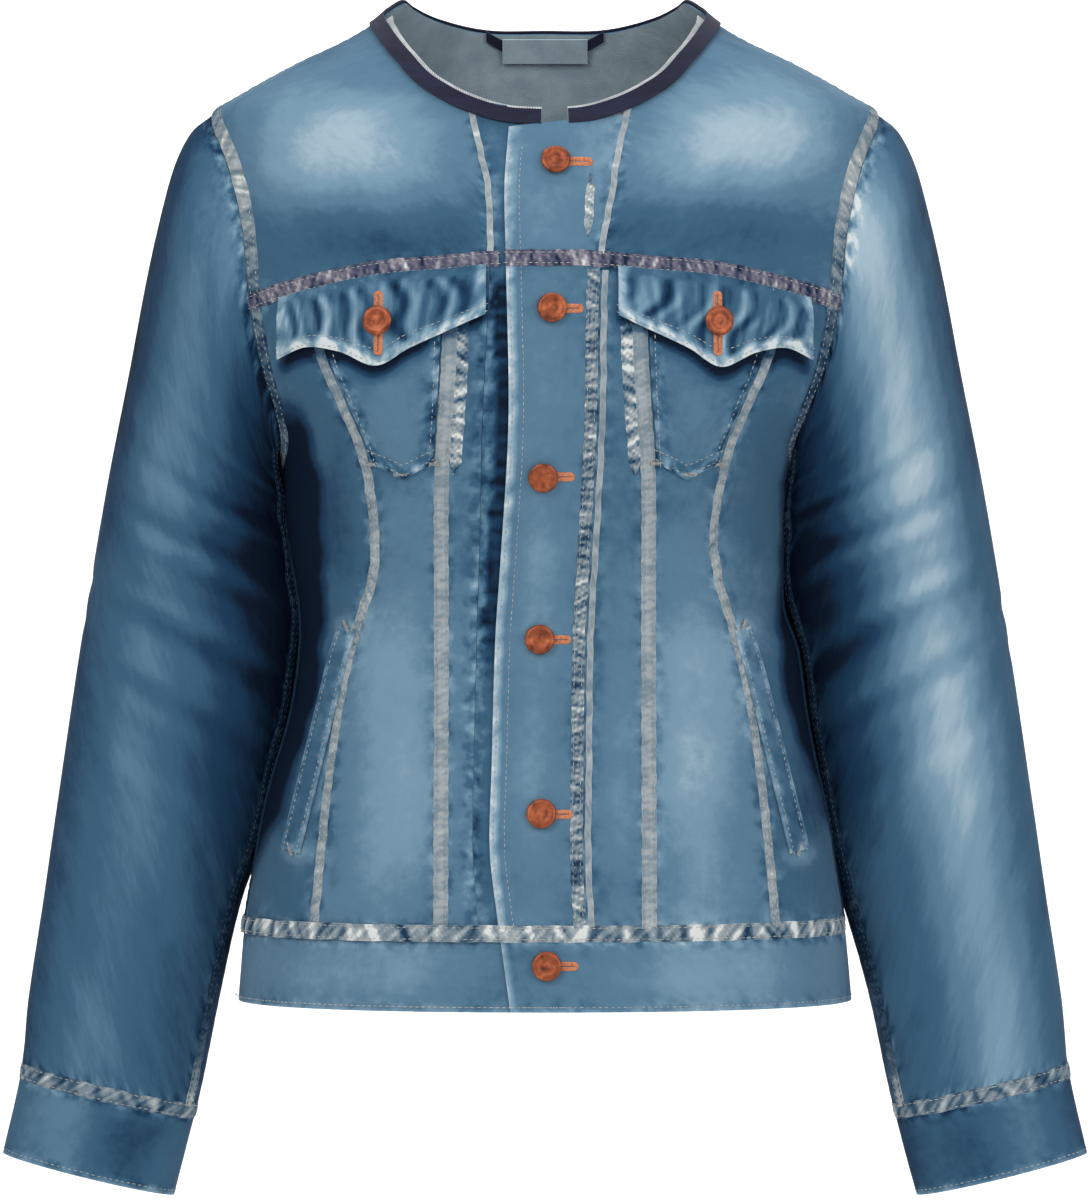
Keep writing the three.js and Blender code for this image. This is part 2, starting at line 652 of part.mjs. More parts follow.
function addOpening() {
  const free = (z) => lookUp(OPENING, 'z', z, 'free');
  const under = (z) => lookUp(OPENING, 'z', z, 'under');
  addOpeningStrip('placket', free, openingEdge(1), 5, PLACKET_TOP_SHARE, { lift: lapLift });
  addOpeningStrip('under_placket', openingEdge(-1), under, 3, 1, { colour: COLOURS.denimDark });
}

function addHemBand() {
  const free = (z) => turnAt(lookUp(OPENING, 'z', z, 'free'), z);
  const under = (z) => turnAt(lookUp(OPENING, 'z', z, 'under'), z) + 360;
  const patch = (u, v) => {
    const z = mix(HEM_Z, BAND_SEAM_Z, v);
    return [mix(free(z), under(z), u), z];
  };
  const isTopEnd = (turn) => turn < 180;
  addPanel('hem_band', patch, evenSteps(56), evenSteps(2), {
    lift: (turn, z) => (isTopEnd(turn) ? lapLift(turn, z) : 0),
  });
}

// A point of a plain sleeve tube, whose rings are ovals between the sleeve's two edges.
function tubePoint(side, ring, angle) {
  const value = (column) => lookUp(SLEEVE_RINGS, 'ring', ring, column);
  const outerZ = value('outerZ');
  const innerZ = value('innerZ');
  const outerX = lookUp(SLEEVE_OUTER, 'z', outerZ, 'x');
  const innerX = lookUp(SLEEVE_INNER, 'z', innerZ, sideName(side));
  const s = Math.sin(angle * RADIANS);
  const c = Math.cos(angle * RADIANS);
  const depth = s > 0 ? value('front') : value('back');
  return new THREE.Vector3(
    side * ((outerX + innerX) / 2 + ((outerX - innerX) / 2) * c),
    value('shift') - depth * s,
    (outerZ + innerZ) / 2 + ((outerZ - innerZ) / 2) * c,
  );
}

// The same tube eased at its top so that it starts from the body's armhole.
function smoothSleevePoint(side, ring, angle) {
  const point = tubePoint(side, ring, angle);
  if (ring >= ARMHOLE_BLEND_RINGS) return point;
  const shift = bodyPoint(...armholeSpot(side, angle)).sub(tubePoint(side, 0, angle));
  return point.addScaledVector(shift, 1 - smooth(ring / ARMHOLE_BLEND_RINGS));
}
const SLEEVE_RINGS = SLEEVE.map((row, ring) => ({ ...row, ring }));

function sleeveNormal(side, ring, angle) {
  const surface = (a, r) => smoothSleevePoint(side, Math.max(0, r), a);
  return normalOf(surface, angle, ring, 1, 0.06).multiplyScalar(side);
}

function sleevePoint(side, ring, angle) {
  const point = smoothSleevePoint(side, ring, angle);
  const wrapped = ((((angle + 180) % 360) + 360) % 360) - 180;
  const depth = foldDepth(
    SLEEVE_FOLDS,
    (fold) => wrapped - fold.turn,
    (fold) => (ring - fold.ring - (side > 0 ? RIGHT_FOLD_SHIFT : 0)) * RING_LENGTH,
  );
  const fade = smooth((ring - 1) / 2);
  return point.addScaledVector(sleeveNormal(side, ring, angle), -depth * fade);
}

// The turns of a sleeve's columns, which match the rows of the panels beside the armhole.
function sleeveTurns() {
  const upper = YOKE_STEPS.map((f) => (1 - f) * ARMHOLE.yokeEnd).reverse();
  const lower = evenSteps(UNDERARM_ROWS).map((f) => mix(ARMHOLE.yokeEnd, 180, f));
  const front = [...upper, ...lower.slice(1)];
  const back = front.slice(0, -1).map((angle) => 360 - angle).reverse();
  return [...front, ...back];
}

function addTube(name, side, rings, turns, closed, colour) {
  const points = rings.map((r) => turns.map((a) => sleevePoint(side, r, a)));
  const normals = rings.map((r) => turns.map((a) => sleeveNormal(side, r, a)));
  const outer = insetRim(points, normals, closed, SEAM_GAP);
  const inner = outer.map((row, j) => row.map((p, i) => p.clone().addScaledVector(normals[j][i], -CLOTH)));
  return addWall(name, outer, inner, closed, colour);
}

const SLEEVE_STEPS = [
  0, 0.4, 0.9, 1.5, 2.2, 3, 3.8, 4.6, 5.4, 6.2, 7, 7.5, 7.9, 8.2, 8.5, 8.8, 9.1, 9.4, 9.8, 10.5, 11.5, 12.75,
  14.2, 15.7, 17,
];
const FRONT_SLEEVE_SEAM = 13; // column of the seam near the inner edge, in front
const BACK_SLEEVE_SEAM = 22; // column of the seam behind

function addSleeve(side) {
  const name = sideName(side);
  const turns = sleeveTurns();
  const under = turns.slice(FRONT_SLEEVE_SEAM, BACK_SLEEVE_SEAM + 1);
  const behind = turns.slice(BACK_SLEEVE_SEAM, -1).map((a) => a - 360);
  const top = [...behind, ...turns.slice(0, FRONT_SLEEVE_SEAM + 1)];
  addTube(`top_sleeve_${name}`, side, SLEEVE_STEPS, top, false, COLOURS.denim);
  addTube(`under_sleeve_${name}`, side, SLEEVE_STEPS, under, false, COLOURS.denimDark);
  const cuffSteps = [CUFF_SEAM_RING, mix(CUFF_SEAM_RING, CUFF_END_RING, 0.5), CUFF_END_RING];
  addTube(`cuff_${name}`, side, cuffSteps, turns, true, COLOURS.denim);
}

// A spot moved over the body's surface by a distance in a direction across an edge.
function slide(turn, z, direction, distance) {
  const step = distance / 4;
  let spot = [turn, z];
  for (let k = 0; k < 4; k++) {
    const du = smoothBodyPoint(spot[0] + 0.5, spot[1]).sub(smoothBodyPoint(spot[0] - 0.5, spot[1]));
    const dv = smoothBodyPoint(spot[0], spot[1] + 0.5).sub(smoothBodyPoint(spot[0], spot[1] - 0.5));
    const a = du.dot(du);
    const b = du.dot(dv);
    const c = dv.dot(dv);
    const p = du.dot(direction) * step;
    const q = dv.dot(direction) * step;
    const determinant = a * c - b * b;
    spot = [spot[0] + (p * c - q * b) / determinant, spot[1] + (q * a - p * b) / determinant];
  }
  return spot;
}

// A strip along the neck edge: how far it runs above the edge and below it.
function neckStrip(above, below) {
  return (turn, v) => {
    const z = neckZ(turn);
    const ahead = smoothBodyPoint(turn + 0.5, neckZ(turn + 0.5));
    const behind = smoothBodyPoint(turn - 0.5, neckZ(turn - 0.5));
    const along = ahead.sub(behind).normalize();
    const upward = bodyNormal(turn, z).cross(along).normalize();
    return slide(turn, z, upward, mix(-below, above, v));
  };
}

// Turns along the neck from a front end round to the shoulder seam, shared with the yoke.
function frontNeckTurns(side) {
  const end = side < 0 ? -BINDING_END.left : BINDING_END.right;
  const start = meetingSpot(() => end, neckZ, -58)[0];
  const yokeStart = meetingSpot(openingEdge(side), neckZ, -55)[0];
  const lap = evenSteps(4).slice(0, -1).map((f) => mix(start, yokeStart, f));
  return [...lap, ...evenSteps(FRONT_NECK_COLUMNS).map((f) => frontNeckTurn(yokeStart, side, f))];
}

function addNeckEdge() {
  const rightTurns = frontNeckTurns(1);
  const leftTurns = frontNeckTurns(-1).map((turn) => turn + 360);
  const backTurns = evenSteps(BACK_NECK_COLUMNS).map((f) => mix(90, 270, f));
  const allTurns = [...rightTurns, ...backTurns.slice(1, -1), ...[...leftTurns].reverse()];
  addPanel('neck_binding', neckStrip(BINDING_OVER_EDGE, BINDING_WIDTH), allTurns, evenSteps(1), {
    lift: () => BINDING_LAP + CLOTH,
    gap: 0,
    colour: COLOURS.navy,
  });
  const tape = { lift: () => -CLOTH - INSIDE_LAP, thickness: TAPE_CLOTH, gap: 0, colour: COLOURS.tape };
  const strip = neckStrip(TAPE_OVER_EDGE, TAPE_WIDTH);
  addPanel('neck_tape_right', strip, rightTurns.slice(0, -1), evenSteps(1), tape);
  addPanel('neck_tape_left', strip, leftTurns.slice(0, -1), evenSteps(1), tape);
}

// The tab and the loop inside the back neck, between two distances from the centre back.
function backStrip(halfWidth, topZ, footZ) {
  return (u, v) => {
    const x = mix(-halfWidth, halfWidth, u);
    const z = mix(footZ(x), topZ(x), v);
    return [180 - turnAt(x, z), z];
  };
}

function addNeckTab() {
  const loopZ = (x) => -13 + 11 * Math.pow(Math.abs(x) / 35, 2);
  const loop = backStrip(35, (x) => loopZ(x) + 3, (x) => loopZ(x) - 3);
  const loopLift = () => -CLOTH - INSIDE_LAP;
  const small = { thickness: TAPE_CLOTH, gap: 0 };
  const loopLook = { ...small, lift: loopLift, colour: COLOURS.navy };
  addPanel('hanger_loop', loop, evenSteps(10), evenSteps(1), loopLook);
  const tab = backStrip(25.5, () => -3, () => -17);
  const tabLift = () => -CLOTH - INSIDE_LAP - TAPE_CLOTH - LAP;
  addPanel('neck_tab', tab, evenSteps(4), evenSteps(1), { ...small, lift: tabLift, colour: COLOURS.inside });
}

function addChestPocket(side) {
  const name = sideName(side);
  const inner = (z) => side * (lookUp(SEAMS, 'z', z, 'inner') + 5);
  const outer = (z) => side * (lookUp(SEAMS, 'z', z, 'outer') - 5);
  const patch = (u, v) => {
    const point = 1 - Math.abs(2 * u - 1);
    const lowZ = mix(POCKET_FOOT.sideZ, POCKET_FOOT.pointZ, point);
    const z = mix(lowZ, -161, v);
    return [turnAt(mix(inner(z), outer(z), u), z), z];
  };
  addPanel(`chest_pocket_${name}`, patch, evenSteps(4), evenSteps(7), {
    lift: () => LAP + CLOTH,
    gap: 0,
    colour: COLOURS.denim,
  });
}

function addFlap(side) {
  const name = sideName(side);
  const innerX = side < 0 ? FLAP_ENDS.leftInner : FLAP_ENDS.rightInner;
  const patch = (u, v) => {
    const x = side * mix(innerX, FLAP_ENDS.outer, u);
    const topZ = meetingSpot(() => x, yokeZ, -150)[1] - 1;
    const z = topZ - lookUp(FLAP, 'across', u, 'fall') * (1 - v);
    return [turnAt(x, z), z];
  };
  addPanel(`pocket_flap_${name}`, patch, evenSteps(10), evenSteps(3), {
    lift: () => 2 * (LAP + CLOTH),
    gap: 0,
    colour: COLOURS.denimPale,
  });
}

function addWelt(side) {
  const lean = Math.atan2(WELT.footX - WELT.topX, WELT.topZ - WELT.footZ);
  const patch = (u, v) => {
    const x = mix(WELT.footX, WELT.topX, v) + (u - 0.5) * WELT.width * Math.cos(lean);
    const z = mix(WELT.footZ, WELT.topZ, v) + (u - 0.5) * WELT.width * Math.sin(lean);
    return [turnAt(side * x, z), z];
  };
  addPanel(`side_welt_${sideName(side)}`, patch, evenSteps(1), evenSteps(8), {
    lift: () => LAP + CLOTH,
    gap: 0,
    colour: COLOURS.denim,
  });
}

// A round button with a short shank, standing on the cloth.
function addButton(name, x, z, height) {
  const profile = [
    [3.2, 0],
    [3.2, 1.3],
    [BUTTON_RADIUS - 0.5, 1.4],
    [BUTTON_RADIUS, 2.2],
    [BUTTON_RADIUS - 0.7, 3.1],
    [BUTTON_RADIUS - 2.6, 2.8],
  ];
  const sides = 14;
  const turn = turnAt(x, z);
  const normal = bodyNormal(turn, z);
  const base = bodyPoint(turn, z).addScaledVector(normal, height);
  const spin = new THREE.Quaternion().setFromUnitVectors(new THREE.Vector3(0, 0, 1), normal);
  const place = (radius, rise, k) => {
    const angle = (k / sides) * 2 * Math.PI;
    const local = new THREE.Vector3(radius * Math.cos(angle), radius * Math.sin(angle), rise);
    return local.applyQuaternion(spin).add(base);
  };
  const vertices = [place(0, 0, 0), place(0, 3.4, 0)];
  for (const [radius, rise] of profile) {
    for (let k = 0; k < sides; k++) vertices.push(place(radius, rise, k));
  }
  const at = (row, k) => 2 + row * sides + (k % sides);
  const triangles = [];
  for (let k = 0; k < sides; k++) {
    triangles.push([0, at(0, k + 1), at(0, k)]);
    triangles.push([1, at(profile.length - 1, k), at(profile.length - 1, k + 1)]);
    for (let row = 0; row < profile.length - 1; row++) {
      triangles.push([at(row, k), at(row, k + 1), at(row + 1, k + 1)]);
      triangles.push([at(row, k), at(row + 1, k + 1), at(row + 1, k)]);
    }
  }
  const mesh = solidMesh(name, vertices, triangles, COLOURS.copper);
  mesh.material.metalness = 0.8;
  mesh.material.roughness = 0.4;
}

function addButtons() {
  const stand = 0.7;
  CENTRE_BUTTONS.forEach(({ x, z }, k) => addButton(`centre_button_${k + 1}`, x, z, CLOTH + LAP + stand));
  const onFlap = 2 * (CLOTH + LAP) + stand;
  addButton('flap_button_left', -FLAP_BUTTON.left, FLAP_BUTTON.z, onFlap);
  addButton('flap_button_right', FLAP_BUTTON.right, FLAP_BUTTON.z, onFlap);
}

for (const side of [-1, 1]) {
  addFrontYoke(side);
  addFrontPanels(side);
  addSleeve(side);
  addChestPocket(side);
  addFlap(side);
  addWelt(side);
}
addBack();
addOpening();
addHemBand();
addNeckEdge();
addNeckTab();
addButtons();

export default group;
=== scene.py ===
import math

import bpy
import numpy as np
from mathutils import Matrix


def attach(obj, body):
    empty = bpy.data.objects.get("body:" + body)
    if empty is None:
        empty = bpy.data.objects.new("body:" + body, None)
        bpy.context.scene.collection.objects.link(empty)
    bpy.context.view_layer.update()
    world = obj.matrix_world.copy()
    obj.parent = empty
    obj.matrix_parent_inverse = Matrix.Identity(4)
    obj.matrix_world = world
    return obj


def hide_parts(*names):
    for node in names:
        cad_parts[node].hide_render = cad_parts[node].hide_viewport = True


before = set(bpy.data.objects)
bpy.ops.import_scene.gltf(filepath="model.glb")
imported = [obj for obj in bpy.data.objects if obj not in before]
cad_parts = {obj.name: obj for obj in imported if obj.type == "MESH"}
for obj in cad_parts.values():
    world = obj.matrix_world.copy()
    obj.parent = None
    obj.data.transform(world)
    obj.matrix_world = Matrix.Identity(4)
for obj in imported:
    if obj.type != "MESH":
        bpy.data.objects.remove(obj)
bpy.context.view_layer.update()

MM = 0.001
RADIANS = math.pi / 180

# The garment's sizes, as in the part's source.
CLOTH = 1.2
TAPE_CLOTH = 1.0
SEAM_GAP = 0.3
LAP = 0.5
INSIDE_LAP = 0.8
ROUNDNESS = 2.25
HEM_Z = -567
BAND_SEAM_Z = -523
BINDING_WIDTH = 8.5
BINDING_OVER_EDGE = 1.0
BINDING_LAP = 0.95
BINDING_END = {"right": 13, "left": 2}
TAPE_WIDTH = 8
TAPE_OVER_EDGE = 4.6
PLACKET_TOP_SHARE = 0.885
SIDE_SHARE = 0.7  # part of a side panel's height that is side seam, the rest is armhole
NECK_SHARE = 8 / 14  # part of a front yoke's upper edge that is neck, the rest is shoulder
BACK_SHOULDER_SHARE = 5 / 24
SHOULDER_TURN = 90
ARMHOLE = {"centre_z": -152.5, "half_height": 97.5, "forward": 30, "backward": 28, "yoke_end": 100}
CUFF_SEAM_RING = 17
CUFF_END_RING = 19
ARMHOLE_BLEND_RINGS = 3
FRONT_SLEEVE_SEAM = 157.1  # turns of the sleeve's two seams
BACK_SLEEVE_SEAM = 260
RING_LENGTH = 38  # about how much sleeve lies between two rings, as the folds count it
RIGHT_FOLD_SHIFT = 0.45  # the right sleeve's folds lie this many rings lower

ONE_LAYER = LAP + CLOTH  # how far a piece laid on another stands off it
UNDER_CLOTH = -CLOTH - INSIDE_LAP  # where a piece inside the neck has its outer side
GRID = 3.4  # spacing of the shells' points
FINE_GRID = 1.6
SHARP_ANGLE = 50  # degrees between faces from which an edge isn't shaded smooth
SMALLEST_CUT = 10.2  # narrower strips are cut wider and folded


def table(names, rows):
    """Columns of a table by name, in order of its first column."""
    ordered = sorted(rows)
    return {name: np.array([row[k] for row in ordered], float) for k, name in enumerate(names)}


# Rings of the body: half widths to each side, and depths before and behind the side seams.
BODY = table(("key", "left", "right", "front", "back"), [
    (24, 76, 76, 24, 47),
    (12, 85, 85, 29, 57),
    (4, 92, 92, 33, 62),
    (-4, 102, 102, 40, 67),
    (-13, 117.5, 117.5, 48, 72),
    (-25, 143, 143, 57, 77),
    (-42, 174, 174, 67, 83),
    (-55, 193, 193, 73, 87),
    (-82, 195, 195, 86, 94),
    (-133, 194, 194, 106, 99),
    (-152, 193, 193, 112, 99),
    (-177, 188, 187, 117, 97),
    (-205, 176, 174, 119, 92),
    (-227, 162, 158, 118, 88),
    (-250, 150, 141, 114, 84),
    (-284, 146, 134, 105, 78),
    (-304, 144, 133.5, 100, 75),
    (-341, 140, 136, 95, 72),
    (-365, 141, 145, 95.5, 75),
    (-402, 147, 151, 101, 83),
    (-435, 155.5, 156.5, 107, 91),
    (-476, 164, 164, 114, 99),
    (-519, 173, 172.5, 118, 105),
    (-567, 177.5, 177.5, 121, 108),
    (-590, 178.5, 178.5, 122, 109),
])

# Height of the neck edge, and of the yokes' lower edges, at each turn from the centre front.
NECK = table(("key", "z"), [
    (0, -59.5), (5, -58), (10, -52.5), (18, -41.5), (31, -24), (50, -10), (68, -2), (90, 5),
    (106, 12), (120, 9.5), (141, 3.7), (163, -1.4), (180, -1.4),
])
YOKE_END_TURN = 90 - ARMHOLE["forward"] * math.sin(ARMHOLE["yoke_end"] * RADIANS)
BACK_YOKE_END_TURN = 90 + ARMHOLE["backward"] * math.sin(ARMHOLE["yoke_end"] * RADIANS)
YOKE_END_Z = ARMHOLE["centre_z"] + ARMHOLE["half_height"] * math.cos(ARMHOLE["yoke_end"] * RADIANS)
FRONT_YOKE = table(("key", "z"), [
    (0, -147), (7, -147), (15, -149.5), (26, -152), (40, -159), (YOKE_END_TURN, YOKE_END_Z),
])
BACK_YOKE = table(("key", "z"), [(BACK_YOKE_END_TURN, YOKE_END_Z), (140, -163), (180, -160)])

# Front opening: the free edge on top, its seam to the right, and the strip beneath it.
OPENING = table(("key", "free", "right", "left", "under"), [
    (-50, -19, 49, 44, 3),
    (-80, -21.5, 42, 37, 12),
    (-105, -23, 38, 32, 13),
    (-147, -22, 31, 31, 13),
    (-235, -20.5, 29, 35, 13),
    (-313, -25, 25, 37, 12),
    (-358, -28, 22.5, 38.5, 10),
    (-431, -30, 21.5, 40, 9),
    (-476, -31, 21, 40.5, 9),
    (-512, -27, 22.5, 38, 11),
    (-537, -23.5, 25, 36.5, 12),
    (-567, -19.5, 27, 36, 14),
])

# Panel seams of the front and the back: distance from the centre at each height.
SEAMS = table(("key", "inner", "outer"), [
    (-147, 52, 140),
    (-202, 54, 125),
    (-227, 55.5, 114),
    (-262, 58, 101),
    (-300, 58.5, 96.5),
    (-329, 58.5, 99.5),
    (-352, 58.5, 107),
    (-376, 58.5, 113),
    (-412, 58.5, 119),
    (-450, 58.5, 124),
    (-523, 58.5, 131),
])
BACK_SEAM = table(("key", "outer"), [(-160, 118), (-300, 88), (-341, 84), (-523, 104)])

# Side edges of the sleeves, seen from the front.
SLEEVE_OUTER = table(("key", "x"), [
    (-55, 193), (-64, 204), (-80, 213), (-100, 219.5), (-144, 230), (-203, 241.5), (-270, 255),
    (-336, 266.5), (-394, 275.5), (-460, 285), (-510, 292), (-568, 300.5), (-609, 304.5), (-657, 315),
])
SLEEVE_INNER = table(("key", "left", "right"), [
    (-250, 150, 141),
    (-256, 152.5, 140),
    (-265, 152.5, 139),
    (-284, 149.5, 137),
    (-304, 146, 135.5),
    (-334, 141, 136.5),
    (-350, 140, 141),
    (-365, 141.5, 146.5),
    (-402, 147, 151.5),
    (-435, 156.5, 158),
    (-470, 164.5, 165),
    (-510, 177, 174),
    (-568, 189.5, 189),
    (-618, 199.5, 199.5),
    (-658, 209.5, 209.5),
    (-681.5, 215.5, 216),
])

# Sleeve rings from the armhole down: heights at the outer and inner edge, depth, set-back.
SLEEVE = table(("key", "outer_z", "inner_z", "front", "back", "shift"), [
    (0, -55, -250, 60, 57, 0),
    (1, -63, -252.5, 62, 58, 0),
    (2, -80, -255, 64, 60, 1),
    (3, -107, -258, 65, 61, 3),
    (4, -138, -261.5, 64, 61, 5),
    (5, -178, -266, 63, 61, 8),
    (6, -220, -273, 61, 60, 11),
    (7, -262, -285, 58, 58, 14),
    (8, -300, -308, 54, 54, 17),
    (9, -336, -346, 50, 50, 19),
    (10, -372, -389, 47, 47, 19),
    (11, -408, -428.5, 45, 45, 19),
    (12, -444, -465.5, 43, 43, 18),
    (13, -480, -502, 41, 41, 16),
    (14, -516, -538, 39, 39, 14),
    (15, -552, -574.5, 37, 37, 12),
    (16, -588, -611, 34, 34, 10),
    (17, -609, -632.5, 32, 32, 9),
    (18, -633, -657, 29.5, 29.5, 8),
    (19, -657, -681.5, 28, 28, 7),
])

# Folds: place, lean in degrees from the first direction, length, width and depth.
# On the body the place is turn and z, and the first direction is down the cloth.
BODY_FOLDS = [
    (52, -292, 62, 42, 13, 2.2),
    (-54, -300, -58, 46, 12, 2.4),
    (63, -352, 74, 36, 14, 2.0),
    (-61, -346, -70, 34, 13, 1.8),
    (34, -470, 12, 60, 16, 1.8),
    (-31, -462, -9, 66, 17, 1.7),
    (128, -300, 66, 48, 14, 2.2),
    (-126, -306, -63, 44, 14, 2.3),
    (150, -338, 82, 52, 13, 1.9),
    (-152, -344, -80, 50, 14, 1.8),
]
# Smaller creases that only the looks have. A depth below 0 is a ridge.
BODY_CREASES = [
    (38, -250, 70, 26, 5, 0.9),
    (44, -264, 64, 34, 6, -0.8),
    (58, -318, 70, 30, 6, 1.1),
    (46, -336, 82, 38, 6, -0.9),
    (-40, -246, -68, 28, 5, 0.9),
    (-47, -270, -62, 30, 6, -0.8),
    (-57, -322, -74, 32, 6, 1.0),
    (-44, -340, -80, 36, 6, -0.8),
    (26, -392, 8, 46, 7, 0.8),
    (-25, -400, -6, 50, 7, 0.7),
    (44, -420, 14, 44, 8, -0.8),
    (-45, -430, -12, 48, 8, -0.8),
    (18, -110, 30, 30, 8, 0.7),
    (-20, -104, -34, 32, 8, 0.7),
    (52, -104, 62, 34, 8, 0.8),
    (-50, -112, -58, 36, 8, 0.9),
    (118, -210, 40, 40, 8, 1.2),
    (-116, -214, -38, 42, 8, 1.2),
    (108, -268, 58, 34, 7, 1.1),
    (-110, -262, -60, 32, 7, 1.1),
    (164, -318, 84, 38, 6, 1.0),
    (-168, -326, -86, 42, 6, -0.9),
    (142, -362, 78, 44, 7, 1.1),
    (-140, -368, -76, 40, 7, -1.0),
    (176, -240, 6, 52, 9, 0.8),
    (150, -470, 14, 52, 10, 1.0),
    (-152, -462, -12, 56, 10, 1.0),
    (132, -120, 52, 36, 9, 0.9),
    (-134, -116, -50, 38, 9, 0.9),
    (90, -285, 0, 62, 44, -4.6),
    (-90, -285, 0, 62, 44, -4.6),
    (90, -462, 0, 34, 40, -2.2),
    (-90, -462, 0, 34, 40, -2.2),
]
# On a sleeve the place is ring and turn, and the first direction is round the arm, in degrees.
SLEEVE_FOLDS = [
    (8.1, 92, 14, 40, 9, 2.4),
    (8.8, 118, -18, 46, 10, 2.8),
    (9.5, 84, 22, 36, 9, 2.2),
    (7.0, 140, 30, 34, 11, 2.4),
    (8.4, -96, -12, 42, 10, 2.5),
    (9.2, -124, 16, 44, 10, 2.6),
    (4.2, -112, 48, 40, 13, 2.2),
    (3.6, 116, -46, 38, 12, 2.0),
]
SLEEVE_CREASES = [
    (7.6, 70, 18, 30, 4, 0.9),
    (7.9, 104, 24, 26, 4, -0.8),
    (8.4, 78, 10, 34, 5, -1.0),
    (8.5, 108, -12, 30, 4, 0.9),
    (9.1, 66, 26, 28, 5, 0.9),
    (9.2, 100, 4, 32, 5, -0.9),
    (9.9, 92, 30, 30, 5, 0.8),
    (10.3, 112, -24, 30, 6, 0.8),
    (6.3, 96, -38, 28, 7, 0.9),
    (5.5, 120, -50, 34, 7, 1.0),
    (4.6, 84, -56, 36, 8, 0.9),
    (12.6, 82, 62, 46, 8, 1.0),
    (13.8, 104, -66, 44, 8, 0.9),
    (15.2, 70, 58, 40, 8, 0.9),
    (16.1, 100, 12, 34, 5, 0.8),
    (8.2, -70, -20, 30, 4, 0.9),
    (8.6, -104, 12, 32, 5, -0.9),
    (9.3, -84, -24, 30, 5, 0.9),
    (9.8, -110, -6, 32, 5, 0.8),
    (7.4, -128, -28, 30, 5, 0.9),
    (12.9, -86, -60, 46, 8, 1.0),
    (14.6, -106, 58, 42, 8, 0.9),
    (8.7, 12, 6, 30, 6, 0.9),
    (9.4, -18, -8, 30, 6, 0.8),
    (6.4, 180, 0, 30, 60, -3.6),
    (6.4, -180, 0, 30, 60, -3.6),
    (11.8, 180, 0, 30, 46, -2.6),
    (11.8, -180, 0, 30, 46, -2.6),
]
FOLD_REACH = 3
TURN_LENGTH = 2.2  # millimetres of body cloth per degree of turn, as the folds count it

# Pocket flap: fall below the yoke seam at each part of the way across.
FLAP = table(("key", "fall"), [(0, 28), (0.2, 36), (0.36, 43), (0.52, 51), (0.7, 39), (0.86, 32), (1, 34)])
FLAP_ENDS = {"left": 33, "right": 41, "outer": 150}
POCKET_FOOT = {"side_z": -259, "point_z": -268}
WELT = {"top_x": 113, "top_z": -352, "foot_x": 144, "foot_z": -479, "width": 11}
CENTRE_BUTTONS = [(6, -89), (4, -173), (-1, -266.5), (-3, -358.5), (-2, -456.5), (1, -541)]
FLAP_BUTTONS = {"left": (-92.6, -179.5), "right": (96, -179.5)}


def look_up(curve, key, column):
    """Smooth value of one column of a table at each key."""
    keys = curve["key"]
    values = curve[column]
    key = np.asarray(key, float)
    slopes = np.empty_like(values)
    slopes[1:-1] = (values[2:] - values[:-2]) / (keys[2:] - keys[:-2])
    slopes[0] = (values[1] - values[0]) / (keys[1] - keys[0])
    slopes[-1] = (values[-1] - values[-2]) / (keys[-1] - keys[-2])
    i = np.clip(np.searchsorted(keys, key) - 1, 0, len(keys) - 2)
    span = keys[i + 1] - keys[i]
    f = np.clip((key - keys[i]) / span, 0, 1)
    start = values[i] * (1 + 2 * f) * (1 - f) ** 2
    end = values[i + 1] * f * f * (3 - 2 * f)
    bend = span * f * (1 - f) * (slopes[i] * (1 - f) - slopes[i + 1] * f)
    return start + end + bend


def mix(a, b, f):
    return a + (b - a) * f


def smooth_step(f):
    c = np.clip(f, 0, 1)
    return c * c * (3 - 2 * c)


def signed_power(value, power):
    return np.sign(value) * np.abs(value) ** power


def wrap(turn):
    return (np.asarray(turn, float) + 180) % 360 - 180


def unit(vectors):
    return vectors / np.maximum(np.linalg.norm(vectors, axis=-1, keepdims=True), 1e-9)


def side_name(side):
    return "left" if side < 0 else "right"


def wobble(s, seed):
    """An uneven wave of about one period per unit of s, from -1 to 1."""
    wave = 0.5 * np.sin(2 * math.pi * s + seed)
    wave += 0.3 * np.sin(2 * math.pi * 1.73 * s + 2.1 * seed)
    return wave + 0.2 * np.sin(2 * math.pi * 0.61 * s + 3.7 * seed)


def fold_depth(folds, along_of, across_of):
    """Depth of the folds at each spot, measured along and across each of them."""
    depth = 0
    for place_a, place_b, lean, length, width, fold in folds:
        a = along_of(place_a, place_b)
        b = across_of(place_a, place_b)
        lean = lean * RADIANS
        along = (a * math.cos(lean) + b * math.sin(lean)) / length
        across = (b * math.cos(lean) - a * math.sin(lean)) / width
        near = (np.abs(along) < FOLD_REACH) & (np.abs(across) < FOLD_REACH)
        depth = depth + np.where(near, fold * np.exp(-along * along - across * across), 0)
    return depth


